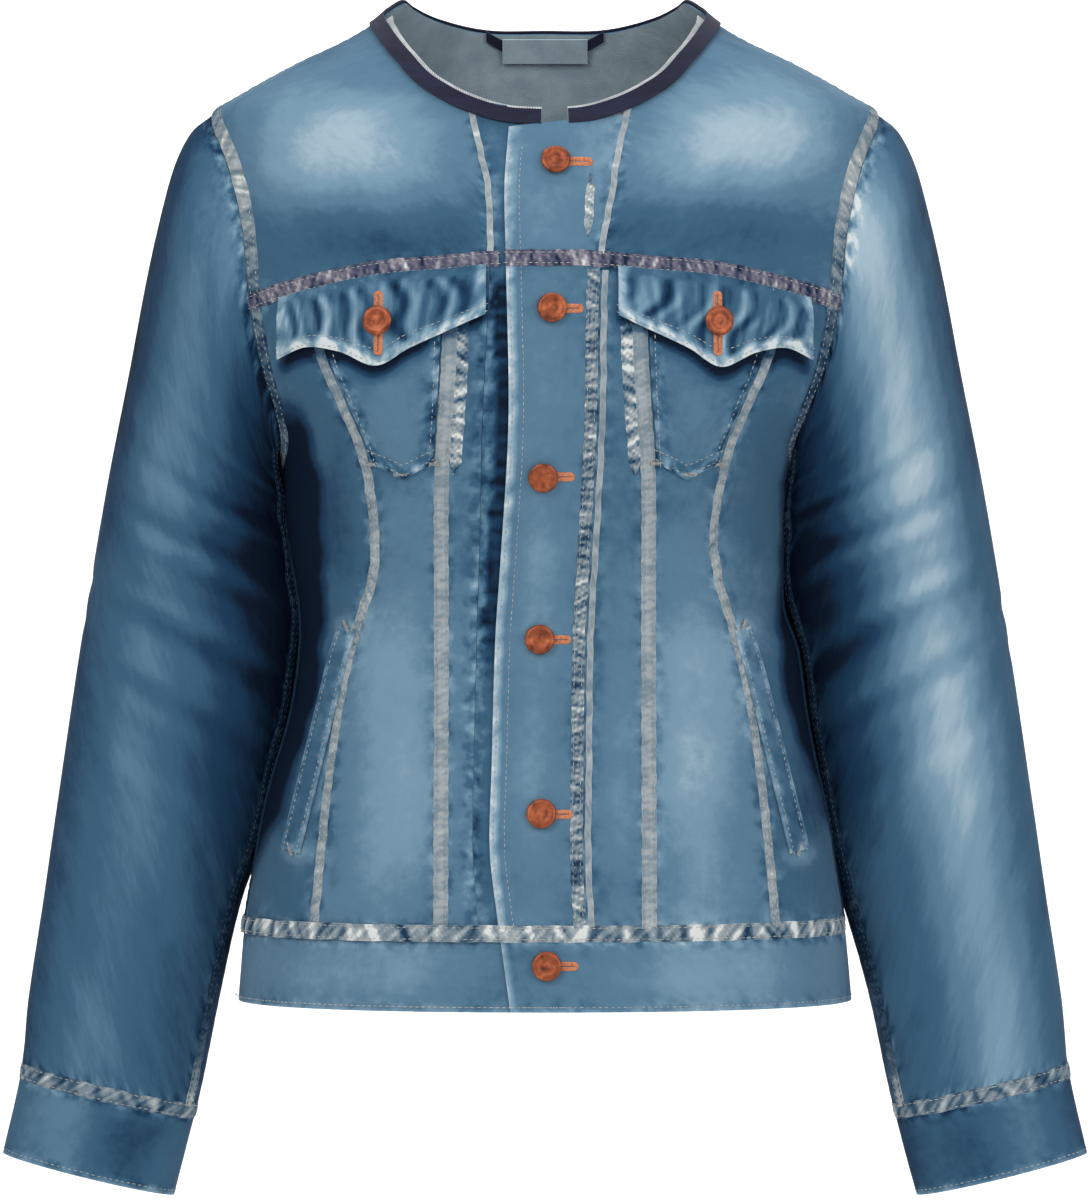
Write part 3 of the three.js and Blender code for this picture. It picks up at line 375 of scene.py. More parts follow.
class Surface:
    """A curved surface whose spots are two numbers. It knows its smooth form, normals and folds."""

    def __init__(self, smooth, depth, steps, facing=1):
        self.smooth = smooth
        self.depth = depth
        self.steps = steps
        self.facing = facing

    def slopes(self, a, b):
        da, db = self.steps
        along_a = (self.smooth(a + da, b) - self.smooth(a - da, b)) / (2 * da)
        along_b = (self.smooth(a, b + db) - self.smooth(a, b - db)) / (2 * db)
        return along_a, along_b

    def normal(self, a, b):
        along_a, along_b = self.slopes(a, b)
        return unit(np.cross(along_a, along_b)) * self.facing

    def point(self, a, b):
        depth = np.asarray(self.depth(a, b))[..., None]
        return self.smooth(a, b) - self.normal(a, b) * depth

    def slide(self, a, b, direction, distance):
        """Spots moved over the surface by a distance in a direction across a path."""
        distance = np.asarray(distance, float)[..., None] / 3
        for _ in range(3):
            along_a, along_b = self.slopes(a, b)
            aa = (along_a * along_a).sum(-1)
            ab = (along_a * along_b).sum(-1)
            bb = (along_b * along_b).sum(-1)
            p = (along_a * direction * distance).sum(-1)
            q = (along_b * direction * distance).sum(-1)
            determinant = aa * bb - ab * ab
            a = a + (p * bb - q * ab) / determinant
            b = b + (q * aa - p * ab) / determinant
        return a, b


def half_width(toward, z):
    """Half width of the body at a height, on the side that toward points to."""
    return np.where(toward < 0, look_up(BODY, z, "left"), look_up(BODY, z, "right"))


def smooth_body(turn, z):
    turn, z = np.broadcast_arrays(np.asarray(turn, float), np.asarray(z, float))
    s = np.sin(turn * RADIANS)
    c = np.cos(turn * RADIANS)
    depth = np.where(c < 0, look_up(BODY, z, "back"), look_up(BODY, z, "front"))
    power = 2 / ROUNDNESS
    return np.stack([half_width(s, z) * signed_power(s, power), -depth * signed_power(c, power), z], -1)


def body_depth(turn, z):
    return fold_depth(
        BODY_FOLDS + BODY_CREASES,
        lambda place_turn, place_z: z - place_z,
        lambda place_turn, place_z: wrap(turn - place_turn) * TURN_LENGTH,
    )


BODY_SURFACE = Surface(smooth_body, body_depth, (0.6, 1.2))


def tube_point(side, turn, ring):
    outer_z = look_up(SLEEVE, ring, "outer_z")
    inner_z = look_up(SLEEVE, ring, "inner_z")
    outer_x = look_up(SLEEVE_OUTER, outer_z, "x")
    inner_x = look_up(SLEEVE_INNER, inner_z, side_name(side))
    s = np.sin(turn * RADIANS)
    c = np.cos(turn * RADIANS)
    depth = np.where(s > 0, look_up(SLEEVE, ring, "front"), look_up(SLEEVE, ring, "back"))
    x = side * ((outer_x + inner_x) / 2 + (outer_x - inner_x) / 2 * c)
    y = look_up(SLEEVE, ring, "shift") - depth * s
    z = (outer_z + inner_z) / 2 + (outer_z - inner_z) / 2 * c
    return np.stack([x, y, z], -1)


def armhole_spot(side, angle):
    """A spot of the armhole: angle 0 is its top, 180 its bottom, and below 0 is its back half."""
    s = np.sin(angle * RADIANS)
    reach = np.where(s >= 0, -ARMHOLE["forward"], -ARMHOLE["backward"])
    turn = 90 + reach * s
    return side * turn, ARMHOLE["centre_z"] + ARMHOLE["half_height"] * np.cos(angle * RADIANS)


def sleeve_surface(side):
    shift_down = RIGHT_FOLD_SHIFT if side > 0 else 0

    def smooth(turn, ring):
        turn, ring = np.broadcast_arrays(np.asarray(turn, float), np.maximum(0, ring))
        point = tube_point(side, turn, ring)
        spot = armhole_spot(side, turn)
        shift = BODY_SURFACE.point(*spot) - tube_point(side, turn, np.zeros_like(ring))
        return point + shift * (1 - smooth_step(ring / ARMHOLE_BLEND_RINGS))[..., None]

    def depth(turn, ring):
        folds = fold_depth(
            SLEEVE_FOLDS + SLEEVE_CREASES,
            lambda place_ring, place_turn: wrap(turn) - place_turn,
            lambda place_ring, place_turn: (ring - place_ring - shift_down) * RING_LENGTH,
        )
        return folds * smooth_step((ring - 1) / 2)

    return Surface(smooth, depth, (1, 0.06), side)


SLEEVES = {side: sleeve_surface(side) for side in (-1, 1)}


# Seams and edges of the body, as spots.

def turn_at(x, z):
    """Turn of the front surface at a distance x from the centre."""
    share = np.minimum(1, np.abs(x) / half_width(x, z))
    return np.sign(x) * np.arcsin(share ** (ROUNDNESS / 2)) / RADIANS


def neck_z(turn):
    return look_up(NECK, np.abs(wrap(turn)), "z")


def yoke_z(turn):
    turn = np.abs(wrap(turn))
    return np.where(turn < 90, look_up(FRONT_YOKE, turn, "z"), look_up(BACK_YOKE, turn, "z"))


def meeting_spot(distance_at, edge_z, guess_z):
    """Where a seam, given as a distance from the centre at each height, meets an edge across it."""
    z = guess_z
    for _ in range(12):
        z = edge_z(turn_at(distance_at(z), z))
    return turn_at(distance_at(z), z), z


def opening_edge(side):
    return lambda z: side * look_up(OPENING, z, side_name(side))


def front_seam(side, column):
    return lambda z: side * look_up(SEAMS, z, column)


def lower_seam(distance_at):
    """A seam of the front from the hem band up to the yoke."""
    top_z = meeting_spot(distance_at, yoke_z, -150)[1]

    def at(v):
        z = mix(BAND_SEAM_Z, top_z, v)
        return turn_at(distance_at(z), z), z
    return at


def opening_edge_up(distance_at):
    """An edge of the front opening: 0 to 1 runs up to the yoke seam, 1 to 2 on up to the neck."""
    yoke = meeting_spot(distance_at, yoke_z, -150)[1]
    neck = meeting_spot(distance_at, neck_z, -55)[1]

    def at(v):
        z = np.where(v <= 1, mix(BAND_SEAM_Z, yoke, v), mix(yoke, neck, v - 1))
        return turn_at(distance_at(z), z), z
    return at


def side_edge(side, back):
    """The side edge of a lower panel: the side seam, then the armhole up to the yoke."""
    def at(v):
        angle = mix(180, ARMHOLE["yoke_end"], (v - SIDE_SHARE) / (1 - SIDE_SHARE))
        turn, z = armhole_spot(side, -angle if back else angle)
        underarm = armhole_spot(side, np.array(180.0))[1]
        below = v <= SIDE_SHARE
        straight = mix(BAND_SEAM_Z, underarm, v / SIDE_SHARE)
        return np.where(below, side * 90.0, turn), np.where(below, straight, z)
    return at


def blended_patch(bottom, top, left, right):
    """A patch of spots blended from its four edges, each a function from 0 to 1."""
    def at(u, v):
        spot = []
        edges = bottom(u), top(u), left(v), right(v)
        ends = bottom(0.0 * u), bottom(0.0 * u + 1), top(0.0 * u), top(0.0 * u + 1)
        for k in (0, 1):
            rows = mix(edges[0][k], edges[1][k], v)
            columns = mix(edges[2][k], edges[3][k], u)
            corners = mix(mix(ends[0][k], ends[1][k], u), mix(ends[2][k], ends[3][k], u), v)
            spot.append(rows + columns - corners)
        return spot
    return at


def lower_panel(left_edge, right_edge):
    start = np.array(0.0)
    end = np.array(1.0)

    def bottom(u):
        return mix(left_edge(start)[0], right_edge(start)[0], u), BAND_SEAM_Z + 0 * u

    def top(u):
        turn = mix(left_edge(end)[0], right_edge(end)[0], u)
        return turn, yoke_z(turn)
    return blended_patch(bottom, top, left_edge, right_edge)


def lap_lift(turn, z):
    """How far the top front stands off the front beneath it, easing down to its own seam."""
    x = smooth_body(turn, z)[..., 0]
    seam = look_up(OPENING, z, "right") - 1
    under = look_up(OPENING, z, "under") + 4
    on_front = np.cos(turn * RADIANS) > 0
    return np.where(on_front, (CLOTH + LAP) * smooth_step((seam - x) / (seam - under)), 0)


# Making meshes.

def lengths_along(points, axis):
    """Length run along each line of a grid of points, from its start."""
    steps = np.linalg.norm(np.diff(points, axis=axis), axis=-1)
    start = np.zeros_like(np.take(steps, [0], axis=axis))
    return np.cumsum(np.concatenate([start, steps], axis=axis), axis=axis)


def inset_rim(points, normals, closed, gap):
    """Moves the rim of a grid of points inward along the cloth by half of the seam gap."""
    moved = points.copy()

    def push(edge, inner, normal, ring):
        ahead = np.roll(edge, -1, 0)
        behind = np.roll(edge, 1, 0)
        if not ring:
            ahead[-1] = edge[-1]
            behind[0] = edge[0]
        inward = unit(np.cross(unit(ahead - behind), normal))
        toward = np.sign((inward * (inner - edge)).sum(-1, keepdims=True))
        return inward * toward * gap / 2

    moved[0] += push(points[0], points[1], normals[0], closed)
    moved[-1] += push(points[-1], points[-2], normals[-1], closed)
    if not closed:
        moved[:, 0] += push(points[:, 0], points[:, 1], normals[:, 0], False)
        moved[:, -1] += push(points[:, -1], points[:, -2], normals[:, -1], False)
    return moved


def mesh_object(name, vertices, quads, values=None, materials=(), face_material=None):
    """An object from vertices in millimetres, quads, and values held at its vertices."""
    mesh = bpy.data.meshes.new(name)
    mesh.vertices.add(len(vertices))
    mesh.vertices.foreach_set("co", (np.asarray(vertices) * MM).astype(np.float32).ravel())
    mesh.loops.add(quads.size)
    mesh.loops.foreach_set("vertex_index", quads.astype(np.int32).ravel())
    mesh.polygons.add(len(quads))
    mesh.polygons.foreach_set("loop_start", np.arange(0, quads.size, quads.shape[1], dtype=np.int32))
    mesh.update(calc_edges=True)
    mesh.polygons.foreach_set("use_smooth", np.ones(len(quads), bool))
    for key, data in (values or {}).items():
        vector = np.ndim(data) == 2
        kind = "FLOAT_VECTOR" if vector else "FLOAT"
        layer = mesh.attributes.new(key, kind, "POINT")
        layer.data.foreach_set("vector" if vector else "value", np.asarray(data, np.float32).ravel())
    for material in materials:
        mesh.materials.append(material)
    if face_material is not None:
        mesh.polygons.foreach_set("material_index", face_material.astype(np.int32))
    mesh.set_sharp_from_angle(angle=SHARP_ANGLE * RADIANS)
    piece = bpy.data.objects.new(name, mesh)
    bpy.context.scene.collection.objects.link(piece)
    return piece


def wall_quads(rows, columns, closed):
    """Quads of a wall between two grids of points, with its rims."""
    j, i = np.indices((rows - 1, columns if closed else columns - 1)).reshape(2, -1)
    layer = rows * columns

    def at(side, row, column):
        return side * layer + row * columns + column % columns

    outer = np.stack([at(0, j, i), at(0, j, i + 1), at(0, j + 1, i + 1), at(0, j + 1, i)], -1)
    inner = np.stack([at(1, j, i), at(1, j + 1, i), at(1, j + 1, i + 1), at(1, j, i + 1)], -1)
    i = np.arange(columns if closed else columns - 1)
    last = rows - 1
    rims = [
        np.stack([at(0, 0, i), at(1, 0, i), at(1, 0, i + 1), at(0, 0, i + 1)], -1),
        np.stack([at(0, last, i), at(0, last, i + 1), at(1, last, i + 1), at(1, last, i)], -1),
    ]
    if not closed:
        j = np.arange(rows - 1)
        end = columns - 1
        rims.append(np.stack([at(0, j, 0), at(0, j + 1, 0), at(1, j + 1, 0), at(1, j, 0)], -1))
        rims.append(np.stack([at(0, j, end), at(1, j, end), at(1, j + 1, end), at(0, j + 1, end)], -1))
    return outer, inner, np.concatenate(rims)


def declare(piece, node, slot, points):
    """Attaches a cloth piece to the root body and hides the node that it replaces. It measures the size that
    the piece was cut to from its own surface, but keeps it nowhere.
    """
    across = max(SMALLEST_CUT, lengths_along(points, 1)[:, -1].max()) * MM
    up = max(SMALLEST_CUT, lengths_along(points, 0)[-1].max()) * MM
    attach(piece, "root")
    if node:
        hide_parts(node)


def make_shell(name, points, normals, thickness, look, closed=False, values=None):
    """A thin closed shell whose outer side is a grid of points. The inner side has its own look."""
    rows, columns = points.shape[:2]
    outer, inner, rims = wall_quads(rows, columns, closed)
    corner = points.reshape(-1, 3)[outer[: columns]]
    facing = np.cross(corner[:, 1] - corner[:, 0], corner[:, 3] - corner[:, 0])
    outward = (facing * normals.reshape(-1, 3)[outer[: columns, 0]]).sum()
    quads = np.concatenate([outer, rims, inner])
    if outward < 0:
        quads = quads[:, ::-1]
    face_material = np.zeros(len(quads), int)
    face_material[len(outer) + len(rims):] = 1
    vertices = np.concatenate([points.reshape(-1, 3), (points - normals * thickness).reshape(-1, 3)])
    doubled = {}
    for key, data in (values or {}).items():
        flat = data.reshape(-1, 3) if data.ndim == 3 else data.ravel()
        doubled[key] = np.concatenate([flat, flat])
    return mesh_object(name, vertices, quads, doubled, look, face_material)


def both_sides(rows):
    """Rows whose first number is a place beside the centre, with the same rows on the other side."""
    return rows + [(-row[0], *row[1:]) for row in rows]


# Fades and painted shade: soft light or dark places, each at x and z with its reach both ways and its
# strength.
FRONT_FADES_AND_SHADE = both_sides([
    (86, -230, 20, 26, 0.10),
    # painted shade down the body's sides, beside the arms
    (150, -400, 14, 90, -0.16),
]) + [
    (-136, -79, 36, 33, 0.22),
    (-96, -79, 40, 33, 0.22),
    (-112, -50, 60, 26, 0.08),
    (-68, -98, 40, 36, 0.07),
    (140, -74, 36, 33, 0.25),
    (98, -76, 42, 33, 0.25),
    (112, -48, 60, 26, 0.08),
    (74, -98, 44, 34, 0.07),
    (-96, -130, 66, 24, -0.20),
    (100, -130, 66, 24, -0.20),
    (0, -210, 16, 60, 0.06),
    (-4, -330, 14, 70, 0.14),
    (-6, -450, 14, 60, 0.10),
    (-84, -420, 28, 96, 0.27),
    (88, -420, 28, 96, 0.30),
    (-46, -440, 10, 90, 0.05),
    (42, -440, 10, 90, 0.12),
    # painted shade on the side panels, between the arms and the body
    (-120, -290, 16, 50, -0.16),
    (118, -290, 16, 50, -0.04),
    (-110, -546, 70, 30, 0.13),
    (-111, -352, 7, 6, 0.3),
    (114, -352, 7, 6, 0.3),
    (-141, -479, 9, 6, 0.3),
    (146, -481, 9, 6, 0.3),
    (100, -546, 70, 30, 0.16),
]
BACK_FADES_AND_SHADE = both_sides([
    (112, -80, 56, 34, 0.34),
    # painted shade down the back's sides, behind the arms
    (140, -300, 20, 60, -0.18),
]) + [
    (0, -70, 60, 30, 0.12),
    (0, -240, 70, 60, 0.14),
    (-60, -430, 34, 80, 0.18),
    (62, -430, 34, 80, 0.18),
    (0, -460, 30, 60, 0.10),
    (0, -546, 120, 30, 0.10),
]
BODY_TONE = 0.46
SIDE_TONE = -0.03  # the side panels are a little darker
SLEEVE_TONE = {-1: 0.39, 1: 0.44}


def body_fades_and_shade(points):
    """Tone of the body's cloth, from 0 for raw indigo to 1 for worn white, with painted shade at the sides
    where the arms lie close.
    """
    x = points[..., 0]
    z = points[..., 2]
    front = smooth_step((20 - points[..., 1]) / 40)
    tone = BODY_TONE
    for fades_and_shade, share in ((FRONT_FADES_AND_SHADE, front), (BACK_FADES_AND_SHADE, 1 - front)):
        for place_x, place_z, wide, high, strength in fades_and_shade:
            spread = ((x - place_x) / wide) ** 2 + ((z - place_z) / high) ** 2
            tone = tone + share * strength * np.exp(-spread)
    return tone


# Where the painted shade beside the side seams starts, by height.
PAINTED_SIDE_SHADE = table(("key", "x"), [
    (-205, 150), (-240, 134), (-290, 129), (-380, 128), (-430, 144), (-470, 159), (-505, 172),
])


def painted_side_shade(points):
    """Painted shade on the cloth beside the side seams, between the arms and the body."""
    z = points[..., 2]
    start = look_up(PAINTED_SIDE_SHADE, z, "x") + np.where(points[..., 0] > 0, 9, 0)
    start = start + 1.5 * wobble(z / 37, 0.6)
    near = smooth_step((np.abs(points[..., 0]) - start) / 13 + 0.5)
    return 0.5 * near * smooth_step((-212 - z) / 30) * smooth_step((z + 522) / 50)


def painted_flap_shadow(points):
    """Painted shadow on the cloth just under the pocket flaps' lower edges."""
    x, y, z = (points[..., k] for k in range(3))
    top_z = yoke_z(turn_at(x, z))
    shade = 0
    for side in (-1, 1):
        inner_x = FLAP_ENDS[side_name(side)]
        share = (side * x - inner_x) / (FLAP_ENDS["outer"] - inner_x)
        edge_z = top_z - look_up(FLAP, np.clip(share, 0, 1), "fall")
        near = np.exp(-(((edge_z - z - 1.5) / 5) ** 2))
        ends = smooth_step(share * 10 + 0.5) * smooth_step((1 - share) * 10 + 0.5)
        shade = shade + 0.5 * near * ends * smooth_step((10 - y) / 20)
    return shade


def sleeve_fade_and_shade(side, turn, ring):
    """Tone of a sleeve: a light band down the front and the back, and painted shade on the inner side,
    towards the body, and along the outer edge.
    """
    turn = wrap(turn)
    light = 0.14 if side < 0 else 0.40
    light = light * (1 - 0.42 * smooth_step((ring - 11) / 3))
    front = np.exp(-((turn - 74) / 26) ** 2) * (light + 0.04 * wobble(ring / 7, 1.0))
    back = np.exp(-((turn + 72) / 28) ** 2) * 0.18
    # Painted shade on the inner side, which faces the body, darkest along the innermost line.
    inner = np.exp(-((np.abs(turn) - 140) / 34) ** 2) * (0.30 - 0.23 * smooth_step((ring - 10) / 4))
    lowest = 1 - 0.5 * smooth_step((ring - 14) / 3)
    inner = inner + 0.34 * np.exp(-((np.abs(turn) - 180) / 22) ** 2) * lowest
    # Painted shade along the sleeve's outer edge, strongest near the shoulder.
    edge = np.exp(-(turn / 40) ** 2) * (0.38 if side < 0 else 0.26) * (1 - 0.55 * smooth_step((ring - 5) / 4))
    elbow = 0.12 * np.exp(-((ring - 8.4) / 1.5) ** 2) * smooth_step((turn - 40) / 50)
    top = 0.10 * np.exp(-((ring - 0.5) / 2.0) ** 2) * np.exp(-((turn - 30) / 40) ** 2)
    whiskers = 0.12 * wobble((ring - turn / 90) * 1.15, 0.8 + side) * np.exp(-((ring - 8.6) / 2.4) ** 2)
    whiskers = whiskers * smooth_step((turn - 30) / 40)
    return SLEEVE_TONE[side] + front + back - inner - edge - elbow + top + whiskers


SEAM_REACH = 6.5  # how far the speckled wear runs in from a seam
FOLD_REACH_IN = 2.4  # how far the pale rim runs in from a folded edge
PUCKER = 0.85  # depth of the puckers beside a seam
ALL_EDGES = {"left": 0.6, "right": 0.6, "bottom": 0.6, "top": 0.6}


def edge_distances(points):
    """For each edge of a piece: how far in from it each point lies, and how far along it."""
    across = lengths_along(points, 1)
    up = lengths_along(points, 0)
    return {
        "left": (across, up), "right": (across[:, -1:] - across, up),
        "bottom": (up, across), "top": (up[-1:] - up, across),
    }


def cloth_values(points, tone, edges, folds, seed, rim_reach=FOLD_REACH_IN):
    """Values for the cloth's look: its flat coordinates, its tone, and nearness to a seam or a fold.

    edges and folds name how strongly each rim is worn: left, right, bottom and top, 0 to 1.
    """
    distances = edge_distances(points)
    seam = np.zeros(points.shape[:2])
    for edge, strength in edges.items():
        seam = np.maximum(seam, strength * np.exp(-((distances[edge][0] / SEAM_REACH) ** 2)))
    for edge, strength in folds.items():
        distance, along = distances[edge]
        rim = smooth_step(1.5 - distance / (rim_reach * (1 + 0.25 * wobble(along / 17, seed))))
        tone = tone + rim * (strength - tone) * 0.9
    across, up = distances["left"]
    middle = across.shape[1] // 2
    centred = across - across[:, middle:middle + 1]
    cloth = np.stack([centred * MM, up * MM, np.full_like(up, seed * 0.37)], -1)
    return {"cloth": cloth, "tone": tone, "seam": seam}


def pucker(points, normals, edges, seed, amount):
    """Small uneven puckers that start at the seams and fade out within the panel."""
    distances = edge_distances(points)
    depth = np.zeros(points.shape[:2])
    for k, (edge, strength) in enumerate(edges.items()):
        distance, along = distances[edge]
        wave = wobble(along / 11 + distance / 60, seed + 1.9 * k)
        fade = np.exp(-distance / 9) * (1 - np.exp(-distance / 2.5))
        depth = depth + strength * PUCKER * amount * wave * fade
    return points + normals * depth[..., None]


# Materials.

class Nodes:
    """Builds a material's nodes. Inputs are numbers, colours or other nodes' outputs."""

    def __init__(self, name):
        self.material = bpy.data.materials.new(name)
        self.material.use_nodes = True
        self.tree = self.material.node_tree
        self.tree.nodes.clear()
        self.shader = self.tree.nodes.new("ShaderNodeBsdfPrincipled")
        self.fill(self.tree.nodes.new("ShaderNodeOutputMaterial"), {"Surface": self.shader.outputs["BSDF"]})

    def fill(self, node, inputs):
        for socket, value in inputs.items():
            if isinstance(value, bpy.types.NodeSocket):
                self.tree.links.new(value, node.inputs[socket])
            else:
                node.inputs[socket].default_value = value

    def add(self, kind, output, inputs, **settings):
        node = self.tree.nodes.new(kind)
        for key, value in settings.items():
            setattr(node, key, value)
        self.fill(node, inputs)
        return node.outputs[output]

    def attribute(self, name, output="Fac"):
        return self.add("ShaderNodeAttribute", output, {}, attribute_name=name)

    def place(self):
        return self.add("ShaderNodeTexCoord", "Object", {})

    def math(self, operation, a, b, clamp=False):
        return self.add("ShaderNodeMath", 0, {0: a, 1: b}, operation=operation, use_clamp=clamp)

    def raised(self, value, scale, offset):
        return self.math("ADD", self.math("MULTIPLY", value, scale), offset)

    def varied(self, value, pattern, amount):
        """A value moved up and down by a pattern from 0 to 1."""
        return self.math("ADD", value, self.math("MULTIPLY", self.math("SUBTRACT", pattern, 0.5), amount))

    def scaled(self, vector, scale, offset=(0, 0, 0)):
        return self.add("ShaderNodeMapping", 0, {"Vector": vector, "Scale": scale, "Location": offset})

    def noise(self, vector, scale, detail=2.0, roughness=0.55):
        inputs = {"Vector": vector, "Scale": scale, "Detail": detail, "Roughness": roughness}
        return self.add("ShaderNodeTexNoise", "Fac", inputs)

    def wave(self, vector, scale, distortion):
        inputs = {"Vector": vector, "Scale": scale, "Distortion": distortion}
        return self.add("ShaderNodeTexWave", "Fac", inputs, bands_direction="DIAGONAL")

    def ramp(self, value, stops):
        node = self.tree.nodes.new("ShaderNodeValToRGB")
        node.color_ramp.interpolation = "EASE"
        elements = node.color_ramp.elements
        while len(elements) < len(stops):
            elements.new(0.5)
        for element, (place, colour) in zip(elements, stops):
            element.position = place
            element.color = linear(colour)
        self.fill(node, {"Fac": value})
        return node.outputs["Color"]

    def bump(self, height, strength, distance, normal=None):
        inputs = {"Height": height, "Strength": strength, "Distance": distance}
        if normal is not None:
            inputs["Normal"] = normal
        return self.add("ShaderNodeBump", "Normal", inputs)

    def finished(self, inputs):
        """The material, with the shader's inputs given."""
        self.fill(self.shader, inputs)
        return self.material


def linear(colour):
    """An sRGB colour out of 255 as a linear one with alpha."""
    parts = [c / 255 for c in colour]
    return tuple(p / 12.92 if p <= 0.04045 else ((p + 0.055) / 1.055) ** 2.4 for p in parts) + (1.0,)


DENIM_STOPS = [
    (0.0, (9, 22, 40)),
    (0.2, (22, 54, 82)),
    (0.4, (52, 88, 114)),
    (0.55, (80, 114, 138)),
    (0.7, (108, 140, 160)),
    (0.85, (148, 170, 184)),
    (1.0, (198, 206, 208)),
]


def denim_material(name, stops):
    """Washed denim: warp streaks, mottling and twill, with white abrasion beside the seams."""
    nodes = Nodes(name)
    cloth = nodes.attribute("cloth", "Vector")
    blotch = nodes.noise(cloth, 22, 2)
    mottle = nodes.noise(cloth, 170, 3, 0.6)
    streak = nodes.noise(nodes.scaled(cloth, (620, 110, 1)), 1, 2)
    value = nodes.attribute("tone")
    for pattern, amount in ((blotch, 0.24), (mottle, 0.12), (streak, 0.02)):
        value = nodes.varied(value, pattern, amount)
    rub = nodes.noise(nodes.scaled(cloth, (1, 1, 1), (3.1, 1.7, 0)), 120, 2, 0.5)
    rub = nodes.math("MULTIPLY", nodes.math("SUBTRACT", rub, 0.5), 2.0)
    rub = nodes.math("MULTIPLY", rub, nodes.attribute("seam"))
    value = nodes.math("ADD", value, rub, clamp=True)
    uneven = nodes.bump(nodes.noise(cloth, 60, 2), 0.35, 0.004)
    return nodes.finished({
        "Base Color": nodes.ramp(value, stops),
        "Roughness": nodes.raised(mottle, 0.16, 0.74),
        "Specular IOR Level": nodes.raised(value, 0.15, 0.07),
        "Sheen Weight": nodes.math("MULTIPLY", value, 0.14),
        "Sheen Roughness": 0.5,
        "Normal": nodes.bump(nodes.wave(cloth, 190, 0.6), 0.03, 0.0004, uneven),
    })


def woven_material(name, dark, light):
    """A plain cloth such as binding, tape or the back of denim, with a fine weave."""
    nodes = Nodes(name)
    cloth = nodes.attribute("cloth", "Vector")
    blotch = nodes.noise(cloth, 55, 3, 0.6)
    weave = nodes.wave(cloth, 420, 1.0)
    return nodes.finished({
        "Base Color": nodes.ramp(nodes.varied(blotch, weave, 0.3), [(0.25, dark), (0.75, light)]),
        "Roughness": nodes.raised(blotch, 0.2, 0.7),
        "Specular IOR Level": 0.2,
        "Sheen Weight": 0.1,
        "Normal": nodes.bump(weave, 0.4, 0.0004),
    })


def copper_material():
    """Brushed copper with darker tarnish in its hollows."""
    nodes = Nodes("copper")
    patch = nodes.noise(nodes.place(), 210, 2, 0.5)
    colours = [(0.3, (102, 48, 28)), (0.5, (142, 70, 40)), (0.75, (180, 98, 58))]
    return nodes.finished({
        "Base Color": nodes.ramp(patch, colours),
        "Metallic": 0.55,
        "Roughness": nodes.raised(patch, 0.3, 0.26),
        "Normal": nodes.bump(patch, 0.25, 0.0005),
    })


def thread_material(name, dark, light):
    """Twisted sewing thread, a little uneven in colour."""
    nodes = Nodes(name)
    patch = nodes.noise(nodes.place(), 700, 2)
    return nodes.finished({
        "Base Color": nodes.ramp(patch, [(0.3, dark), (0.7, light)]),
        "Roughness": nodes.raised(patch, 0.2, 0.55),
        "Sheen Weight": 0.2,
    })


def backdrop_material():
    pale = {"Base Color": (0.93, 0.93, 0.93, 1), "Roughness": 0.85, "Specular IOR Level": 0.1}
    return Nodes("studio_floor").finished(pale)


SEAM_STOPS = [
    (0.0, (26, 52, 76)),
    (0.25, (64, 88, 108)),
    (0.5, (112, 128, 138)),
    (0.75, (150, 158, 162)),
    (1.0, (204, 208, 206)),
]
YOKE_SEAM_STOPS = [
    (0.0, (22, 36, 58)),
    (0.25, (66, 70, 92)),
    (0.5, (102, 100, 114)),
    (0.75, (150, 148, 154)),
    (1.0, (208, 210, 208)),
]
DENIM = denim_material("denim", DENIM_STOPS)
SEAM_DENIM = denim_material("worn_seam", SEAM_STOPS)
YOKE_SEAM_DENIM = denim_material("worn_yoke_seam", YOKE_SEAM_STOPS)
INSIDE = woven_material("inside_cloth", (134, 154, 164), (166, 182, 190))
NAVY = woven_material("binding", (12, 14, 34), (30, 34, 62))
TAPE = woven_material("tape", (146, 152, 156), (206, 210, 212))
COPPER = copper_material()
THREAD = thread_material("seam_thread", (122, 126, 130), (178, 178, 172))
# Dark thread on the inner arm seams is painted shade there.
SHADED_THREAD = thread_material("thread_in_painted_shade", (26, 46, 68), (56, 80, 100))
COPPER_THREAD = thread_material("copper_thread", (168, 92, 54), (206, 130, 86))

DENIM_LOOK = (DENIM, INSIDE)
SEAM_LOOK = (SEAM_DENIM, INSIDE)
YOKE_SEAM_LOOK = (YOKE_SEAM_DENIM, INSIDE)


# Cloth of the body.

def steps_for(length, spacing=GRID):
    return np.linspace(0, 1, max(3, int(round(length / spacing)) + 1))


def two_stretches(first, second, share):
    """Steps from 0 to 1 over two lengths, of which the first takes a share."""
    return np.concatenate([steps_for(first) * share, share + steps_for(second)[1:] * (1 - share)])


